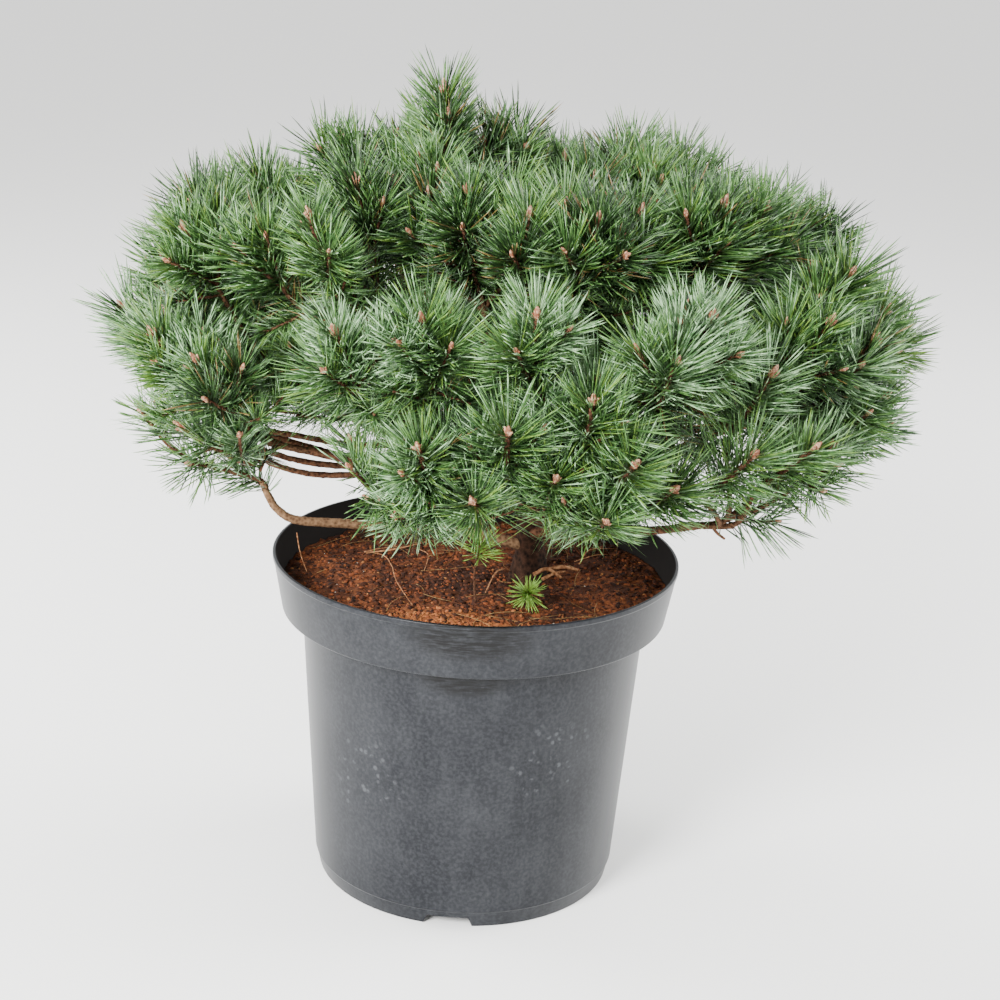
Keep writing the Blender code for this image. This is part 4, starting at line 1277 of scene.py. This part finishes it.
def make_needles(shoots):
    """All needles, joined by colour into pieces that stay under the limit on triangles."""
    rng = np.random.default_rng(23)
    needles = Needles()
    for shoot in shoots:
        spray(shoot, needles, rng)
    materials = [waxy_needle_material(*row) for row in NEEDLE_COLOURS]
    made = []
    for tone, material in enumerate(materials):
        for plain, shape, kind in ((False, needle_shape(), "outer"), (True, spike_shape(), "inner")):
            rows = needles.of_kind(tone, plain)
            for part in range(0, len(rows), NEEDLES_IN_A_PIECE):
                some = rows[part:part + NEEDLES_IN_A_PIECE]
                count = len(some)
                name = f"needles_{kind}_{TONES[tone]}_{part // NEEDLES_IN_A_PIECE + 1}"
                points, triangles = copies(shape, some[:, 0:3], some[:, 3:6], some[:, 9],
                                           np.full(count, NEEDLE_HALF_WIDTH),
                                           np.full(count, NEEDLE_HALF_THICKNESS),
                                           some[:, 6:9], rng.uniform(0.0, FULL_TURN, count))
                made.append(show_piece(name, mesh_of_copies(name, points, triangles), material))
    return made


def make_buds(shoots):
    """A fat middle bud on each shoot's tip, mostly with a few smaller ones round it."""
    rng = random.Random(41)
    bases, headings, sizes = [], [], []
    for shoot in shoots:
        if shoot.kind not in BUDDED_KINDS or shoot.radius == 0.0:
            continue
        aim = (shoot.path[-1] - shoot.path[-2]).normalized()
        size, counts = BUDDED_KINDS[shoot.kind]
        first_turn = rng.uniform(0.0, FULL_TURN)
        around = rng.choice(counts)
        for index in range(around + 1):
            heading, scale = aim, size * rng.uniform(0.9, 1.1)
            if index > 0:
                turn = first_turn + 2.0 * math.pi * index / around
                heading = (aim + outward_at(aim, turn) * 0.55).normalized()
                scale *= rng.uniform(0.55, 0.75)
            bases.append(shoot.path[-1] - aim * BUD_SUNK)
            headings.append(heading)
            sizes.append(scale)
    sizes = np.array(sizes)
    points, triangles = copies(bud_shape(), np.array([base[:] for base in bases]),
                               np.array([heading[:] for heading in headings]), BUD_LENGTH * sizes,
                               BUD_RADIUS * sizes, BUD_RADIUS * sizes)
    show_piece("buds", mesh_of_copies("buds", points, triangles), resin_bud_material())


# Compost

CLEAR_OF_TRUNK = TRUNK_RADIUS + FLARE_RADIUS
# Where the compost is drier and paler: the middle and the spread of the patch, in x and y.
DRY_PATCH = (-0.036, -0.108, 0.036, 0.016)
# The compost's unevenness: heights of its swells, lumps and crumbs, and the hollow round the trunk.
SWELL_HEIGHT = 0.0030
LUMP_HEIGHT = 0.0022
CRUMB_HEIGHT = 0.0014
HOLLOW_DEPTH = 0.0065
COMPOST_SKIN = 0.012
COMPOST_RINGS = 96
COMPOST_STEPS = 288
# Crumbs: name, number, half-sizes, light and dark colour and the patch that they lie in.
CRUMBS = (
    ("bark_chips_dark", 2300, (0.0014, 0.0048), "#40200f", "#1d0e08", None),
    ("bark_chips_red", 2000, (0.0012, 0.0040), "#7d4223", "#4a2512", None),
    ("bark_chips_pale", 420, (0.0009, 0.0030), "#9c6639", "#6e4223", None),
    ("bark_chips_dry", 400, (0.0012, 0.0040), "#9f6136", "#713f21", DRY_PATCH),
    ("sand_grains", 46, (0.0006, 0.0011), "#cfc8ba", "#a89f8e", None),
)
# Threads: name, number, lengths, radius, light and dark colour.
THREADS = (
    ("root_fibres_straw", 44, (0.014, 0.042), 0.00024, "#ab8c5c", "#7d603b"),
    ("root_fibres_brown", 170, (0.008, 0.026), 0.00026, "#5f3820", "#3a2012"),
    ("dead_needles", 22, (0.016, 0.034), 0.00040, "#7d5830", "#50351e"),
)


def soil_height(x, y):
    """The lie of the compost: gently uneven, lumpy and crumbly, with a hollow round the trunk."""
    place = Vector((x, y, 0.0))
    swell = SWELL_HEIGHT * noise.noise(place * 22.0 + Vector((3.0, 1.0, 0.0)))
    lumps = LUMP_HEIGHT * noise.noise(place * 95.0) + CRUMB_HEIGHT * noise.noise(place * 230.0)
    away = math.hypot(x - TRUNK_FOOT.x, y - TRUNK_FOOT.y)
    hollow = -HOLLOW_DEPTH * math.exp(-((away - 0.022) / 0.026) ** 2)
    return SOIL_TOP + swell + lumps + hollow


def inner_wall(height):
    """The radius of the pot's inside at a height on its collar."""
    share = (height - (POT_HEIGHT - COLLAR_HEIGHT)) / COLLAR_HEIGHT
    return COLLAR_FOOT_RADIUS + (RIM_RADIUS - LIP_STEP - COLLAR_FOOT_RADIUS) * share - WALL


def spun(profile, steps):
    """A body turned about the pot's axis from a profile of radii and heights that closes on it."""
    work = bmesh.new()
    outline = [work.verts.new((radius, 0.0, height)) for radius, height in profile]
    edges = [work.edges.new(pair) for pair in zip(outline, outline[1:])]
    bmesh.ops.spin(work, geom=outline + edges, axis=(0, 0, 1), cent=(0, 0, 0), angle=2.0 * math.pi,
                   steps=steps, use_merge=True)
    bmesh.ops.remove_doubles(work, verts=work.verts, dist=1e-5)
    bmesh.ops.recalc_face_normals(work, faces=work.faces)
    return work


def make_soil(material):
    """A turned body whose top is crumbled by noise; its side follows the pot's inside."""
    edge = inner_wall(SOIL_TOP) - 0.0008
    underside = SOIL_TOP - COMPOST_SKIN
    profile = [(edge * index / COMPOST_RINGS, SOIL_TOP) for index in range(COMPOST_RINGS + 1)]
    profile += [(inner_wall(underside) - 0.0012, underside), (0.0, underside)]
    work = spun(profile, COMPOST_STEPS)
    for vert in work.verts:
        if vert.co.z > SOIL_TOP - 0.001:
            vert.co.z = soil_height(vert.co.x, vert.co.y)
    piece = show_piece("compost", finished_mesh("compost", work), material)
    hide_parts("soil")


def scatter(rng, count, edge, patch=None):
    """Places spread evenly over the compost or thickest in a patch of it, clear of the trunk."""
    places = []
    while len(places) < count:
        out, turn = edge * math.sqrt(rng.random()), rng.uniform(0.0, 2.0 * math.pi)
        x, y = out * math.cos(turn), out * math.sin(turn)
        if patch is not None:
            x, y, half_x, half_y = patch
            x, y = rng.gauss(x, half_x), rng.gauss(y, half_y)
        if math.hypot(x, y) < edge and math.hypot(x - TRUNK_FOOT.x, y - TRUNK_FOOT.y) > CLEAR_OF_TRUNK:
            places.append((x, y, soil_height(x, y)))
    return np.array(places)


def make_crumbs(rng, spread, edge):
    """Flat chips of bark, crumbs of peat and grains of sand, half sunk in the compost."""
    crumb = crumb_shape()
    for name, count, sizes, light, dark, patch in CRUMBS:
        places = scatter(rng, count, edge, patch)
        half = spread.uniform(*sizes, count) * spread.uniform(0.6, 1.0, count)
        heading = unit(np.column_stack([spread.normal(0, 1, count), spread.normal(0, 1, count),
                                        spread.normal(0, 0.35, count)]))
        places[:, 2] += half * 0.15
        points, triangles = copies(crumb, places, heading, half, half * spread.uniform(0.35, 0.8, count),
                                   half * spread.uniform(0.25, 0.5, count),
                                   rolls=spread.uniform(-0.5, 0.5, count))
        show_piece(name, mesh_of_copies(name, points, triangles),
                   dry_scrap_material(name, light, dark, 0.004))


def make_threads(rng, spread, edge):
    """Fine roots and dead needles that lie curved on the compost."""
    fibre, needle = fibre_shape(), needle_shape()
    for name, count, lengths, half, light, dark in THREADS:
        places = scatter(rng, count, edge - 0.012)
        turn = spread.uniform(0.0, FULL_TURN, count)
        heading = np.column_stack([np.cos(turn), np.sin(turn), spread.normal(0.02, 0.06, count)])
        bends = np.column_stack([-np.sin(turn), np.cos(turn), np.zeros(count)])
        bends = bends * spread.normal(0.0, 1.1, count)[:, None]
        long = spread.uniform(*lengths, count)
        ends = places + (heading + bends) * long[:, None]
        kept = np.hypot(ends[:, 0], ends[:, 1]) < edge - 0.004
        places[:, 2] += 0.0016
        radii = np.full(int(kept.sum()), half)
        shape = needle if name == "dead_needles" else fibre
        points, triangles = copies(shape, places[kept], unit(heading[kept]), long[kept], radii, radii,
                                   bends=bends[kept])
        show_piece(name, mesh_of_copies(name, points, triangles),
                   dry_scrap_material(name, light, dark, 0.006))


def make_litter():
    """All that is strewn over the compost, clear of its edge."""
    rng = random.Random(77)
    spread = np.random.default_rng(77)
    edge = inner_wall(SOIL_TOP) - 0.006
    make_crumbs(rng, spread, edge)
    make_threads(rng, spread, edge)


def tuft(name, stem, bare, count, lengths, material, rng):
    """Short needles round the upper part of a small straight stem."""
    foot, top = np.array(stem[0]), np.array(stem[1])
    ahead = unit((top - foot)[None, :])
    side = unit(np.cross(ahead, [[1.0, 0.0, 0.0]]))
    over = np.cross(ahead, side)
    share = bare + (1.0 - bare) * rng.random(count)
    bases = foot + (top - foot) * share[:, None]
    turn = rng.uniform(0.0, FULL_TURN, count)
    height = (share - bare) / (1.0 - bare)
    lean = np.radians(84 - 62 * height ** 1.5 + rng.normal(0, 7, count))
    heading = (side * (np.cos(turn) * np.sin(lean))[:, None] + over * (np.sin(turn) * np.sin(lean))[:, None]
               + ahead * np.cos(lean)[:, None])
    half = np.full(count, YOUNG_NEEDLE_HALF_WIDTH)
    points, triangles = copies(needle_shape(), bases, unit(heading), rng.uniform(*lengths, count),
                               half, half, rolls=rng.uniform(0, FULL_TURN, count))
    return show_piece(name, mesh_of_copies(name, points, triangles), material)


def make_sprig(material, wood):
    """The young tuft that leans out in front of the trunk, and a taller thin shoot on its left."""
    rng = np.random.default_rng(9)
    piece = tuft("sprig_needles", (SPRIG_FOOT, SPRIG_STAR), 0.55, 96, (0.013, 0.023), material, rng)
    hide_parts("sprig")
    tuft("wand_needles", (WAND_FOOT, WAND_TOP), 0.76, 72, (0.016, 0.028), material, rng)
    half_way = SPRIG_FOOT.lerp(SPRIG_STAR, 0.5)
    stems = sweep([SPRIG_FOOT, half_way, SPRIG_STAR], SPRIG_RADII, 6, 4)
    half_way = WAND_FOOT.lerp(WAND_TOP, 0.5) + WAND_BOW
    add_to(stems, sweep([WAND_FOOT, half_way, WAND_TOP], WAND_RADII, 6, 10))
    show_piece("sprig_stems", finished_mesh("sprig_stems", stems), wood)


def make_scraps(wood):
    """Bits of root and dead twig that lie on the compost near the trunk and at the left."""
    whole = bmesh.new()
    for number, (points, first, last) in enumerate(SCRAPS):
        points = [Vector(point) for point in points]
        add_to(whole, sweep(points, [first, (first + last) / 2.0, last], 6, 14,
                            bark_relief(SCRAP_RELIEF, 1.3, 5.0 * number)))
    show_piece("wood_scraps", finished_mesh("wood_scraps", whole), wood)


# Pot


def rounded(corners, steps=4):
    """A profile whose corners are rounded; each corner is (radius, height, rounding)."""
    points = []
    for index, (radius, height, rounding) in enumerate(corners):
        corner = Vector((radius, height))
        if rounding <= 0.0 or index in (0, len(corners) - 1):
            points.append(corner)
            continue
        back = Vector(corners[index - 1][:2]) - corner
        on = Vector(corners[index + 1][:2]) - corner
        start = corner + back.normalized() * min(rounding, back.length * 0.45)
        end = corner + on.normalized() * min(rounding, on.length * 0.45)
        for step in range(steps + 1):
            t = step / steps
            points.append((1 - t) ** 2 * start + 2 * t * (1 - t) * corner + t * t * end)
    return points


def make_pot(material):
    """The turned pot with a rolled lip, a stepped collar and a ledge, then its drain notches."""
    shoulder = POT_HEIGHT - COLLAR_HEIGHT
    corners = [
        (0.0, FLOOR_TOP, 0.0),
        (FOOT_RADIUS - WALL, FLOOR_TOP, 0.003),
        (LEDGE_RADIUS - WALL, LEDGE_HEIGHT + 0.003, 0.002),
        (BODY_TOP_RADIUS - WALL, shoulder + 0.0015, 0.002),
        (COLLAR_FOOT_RADIUS - WALL - 0.001, shoulder + WALL + 0.0015, 0.002),
        (RIM_RADIUS - LIP_STEP - WALL, POT_HEIGHT, 0.0009),
        (RIM_RADIUS, POT_HEIGHT, 0.0011),
        (RIM_RADIUS, POT_HEIGHT - LIP_HEIGHT, 0.0009),
        (RIM_RADIUS - LIP_STEP, POT_HEIGHT - LIP_HEIGHT - LIP_STEP, 0.0006),
        (COLLAR_FOOT_RADIUS, shoulder + 0.0010, 0.0012),
        (COLLAR_FOOT_RADIUS - 0.001, shoulder, 0.0005),
        (BODY_TOP_RADIUS, shoulder - 0.0015, 0.0040),
        (LEDGE_RADIUS, LEDGE_HEIGHT, 0.0008),
        (LEDGE_RADIUS - 0.0008, LEDGE_HEIGHT - 0.0008, 0.0006),
        (FOOT_RADIUS, 0.0, 0.0012),
        (FOOT_RADIUS - FOOT_RING_WIDTH, 0.0, 0.0008),
        (FOOT_RADIUS - FOOT_RING_WIDTH, FLOOR_UNDERSIDE, 0.001),
        (HUB_RADIUS + HUB_DRAFT, FLOOR_UNDERSIDE, 0.001),
        (HUB_RADIUS, 0.0, 0.001),
        (0.0, 0.0, 0.0),
    ]
    pot = finished_mesh("nursery_pot", spun(rounded(corners), SPIN_STEPS))
    piece = show_piece("nursery_pot", pot, material)
    cutters = [notch_cutter(azimuth) for azimuth in NOTCH_AZIMUTHS]
    for cutter in cutters:
        cut = piece.modifiers.new("notch", "BOOLEAN")
        cut.operation = "DIFFERENCE"
        cut.solver = "EXACT"
        cut.object = cutter
    bpy.context.view_layer.update()
    cut_mesh = bpy.data.meshes.new_from_object(piece.evaluated_get(bpy.context.evaluated_depsgraph_get()))
    piece.modifiers.clear()
    piece.data = cut_mesh
    for cutter in cutters:
        bpy.data.objects.remove(cutter, do_unlink=True)
    piece.data.set_sharp_from_angle(angle=math.radians(35))
    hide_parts("pot")


def notch_cutter(azimuth):
    """A wedge, wider at its foot, that cuts one drain notch through the foot of the wall."""
    work = bmesh.new()
    bmesh.ops.create_cube(work, size=1.0)
    for corner in work.verts:
        width = NOTCH_TOP_WIDTH if corner.co.z > 0.0 else NOTCH_FOOT_WIDTH
        corner.co.x *= NOTCH_DEPTH
        corner.co.y *= width
        corner.co.z = NOTCH_HEIGHT if corner.co.z > 0.0 else -NOTCH_OVERCUT
    turn = Matrix.Rotation(math.radians(azimuth), 4, "Z")
    bmesh.ops.transform(work, matrix=turn @ Matrix.Translation((FOOT_RADIUS, 0.0, 0.0)), verts=work.verts)
    cutter = bpy.data.objects.new("notch_cutter", finished_mesh("notch_cutter", work, smooth=False))
    bpy.context.scene.collection.objects.link(cutter)
    return cutter


# Floor, light and camera


def make_stage():
    """A pale painted floor in a white studio, with a soft key light and two wide side lights."""
    floor_material, _, shader = new_material("painted_floor_matt_white", 0.9)
    shader.inputs["Base Color"].default_value = linear("#f8f8f6")
    work = bmesh.new()
    bmesh.ops.create_grid(work, x_segments=1, y_segments=1, size=FLOOR_HALF_WIDTH)
    floor = bpy.data.objects.new("floor", finished_mesh("floor", work, smooth=False))
    floor.data.materials.append(floor_material)
    bpy.context.scene.collection.objects.link(floor)
    world = bpy.data.worlds.new("studio")
    world.use_nodes = True
    world.node_tree.nodes["Background"].inputs["Color"].default_value = linear("#ffffff")
    world.node_tree.nodes["Background"].inputs["Strength"].default_value = SKY_STRENGTH
    bpy.context.scene.world = world
    for name, place, size, power in LAMPS:
        light = bpy.data.lights.new(name, "AREA")
        light.shape = "DISK"
        light.size = size
        light.energy = power
        lamp = bpy.data.objects.new(name, light)
        lamp.location = place
        lamp.rotation_euler = (LAMPS_AIM - Vector(place)).to_track_quat("-Z", "Y").to_euler()
        bpy.context.scene.collection.objects.link(lamp)


def make_camera():
    """A camera in the photographer's place, rolled a little as the photo is."""
    back = Vector((0.0, -math.cos(CAMERA_DROP), math.sin(CAMERA_DROP)))
    right = Vector((1.0, 0.0, 0.0))
    up = back.cross(right)
    rolled_right = right * math.cos(CAMERA_ROLL) + up * math.sin(CAMERA_ROLL)
    rolled_up = up * math.cos(CAMERA_ROLL) - right * math.sin(CAMERA_ROLL)
    turn = Matrix((rolled_right, rolled_up, back)).transposed()
    lens = bpy.data.cameras.new("camera")
    lens.sensor_width = SENSOR_WIDTH
    lens.lens = LENS_IN_PIXELS / PICTURE_WIDTH * SENSOR_WIDTH
    camera = bpy.data.objects.new("camera", lens)
    camera.matrix_world = Matrix.Translation(CAMERA_AIM + back * CAMERA_DISTANCE) @ turn.to_4x4()
    bpy.context.scene.collection.objects.link(camera)
    bpy.context.scene.camera = camera


def lay_out_limbs(masses):
    """The trunk, the stems and the boughs as the part has them, for twigs to keep clear of."""
    limbs = Limbs()
    ring_shares = [(index / (TRUNK_RINGS - 1)) ** RING_POWER for index in range(TRUNK_RINGS)]
    limbs.add([trunk_point(share) for share in ring_shares], [trunk_radius(share) for share in ring_shares])
    for mass in masses:
        limbs.add(mass.stem_points(), STEM_RADII, mass)
        if not mass.is_leader:
            points = mass.bough_points(BOUGH_POINTS)
            points[-1] = points[-1] - mass.stem_heading * GAP
            limbs.add(points, taper(BOUGH_RADIUS, BOUGH_TIP_RADIUS, len(points)))
    return limbs


def make_plant(green_wood):
    """Grows the whole plant by the rule, then gives it bark, needles and buds."""
    masses = lay_out_masses()
    spread_tips(masses)
    limbs = lay_out_limbs(masses)
    rng = random.Random(31)
    growth = [grow_mass(mass, limbs, rng) for mass in masses]
    growth.append(fill_shoots(rng))
    twigs = [twig for grown, _ in growth for twig in grown]
    shoots = [shoot for _, sprouted in growth for shoot in sprouted]

    bark = bark_material("pine_bark_young", "#6d4a36", "#2c1b13", 0.0034)
    pale_bark = bark_material("pine_bark_pale", "#86684c", "#4d3727", 0.0034)
    make_trunk(bark_material("pine_bark_old", "#3b271c", "#0f0906", 0.0048))
    make_boughs(masses, bark, pale_bark)
    make_twigs(twigs, shoots, bark_material("pine_twig_bark", "#5f4430", "#2d1d13", 0.0022), green_wood)
    needles = make_needles(shoots)
    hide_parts(*["mass_" + mass.name for mass in masses])
    make_buds(shoots)


def main():
    """Sets the stage and makes the plant, the compost with all that lies on it, and the pot."""
    make_stage()
    make_camera()
    green_wood = bark_material("pine_shoot_bark", "#614230", "#2e1d14", 0.0024)
    make_plant(green_wood)
    make_soil(peat_material())
    make_litter()
    make_sprig(waxy_needle_material("pine_needle_young", "#9cc255", "#6a9636"), green_wood)
    make_scraps(bark_material("pine_root_dead", "#ab7c58", "#674128", 0.0030))
    make_pot(pot_material())


main()
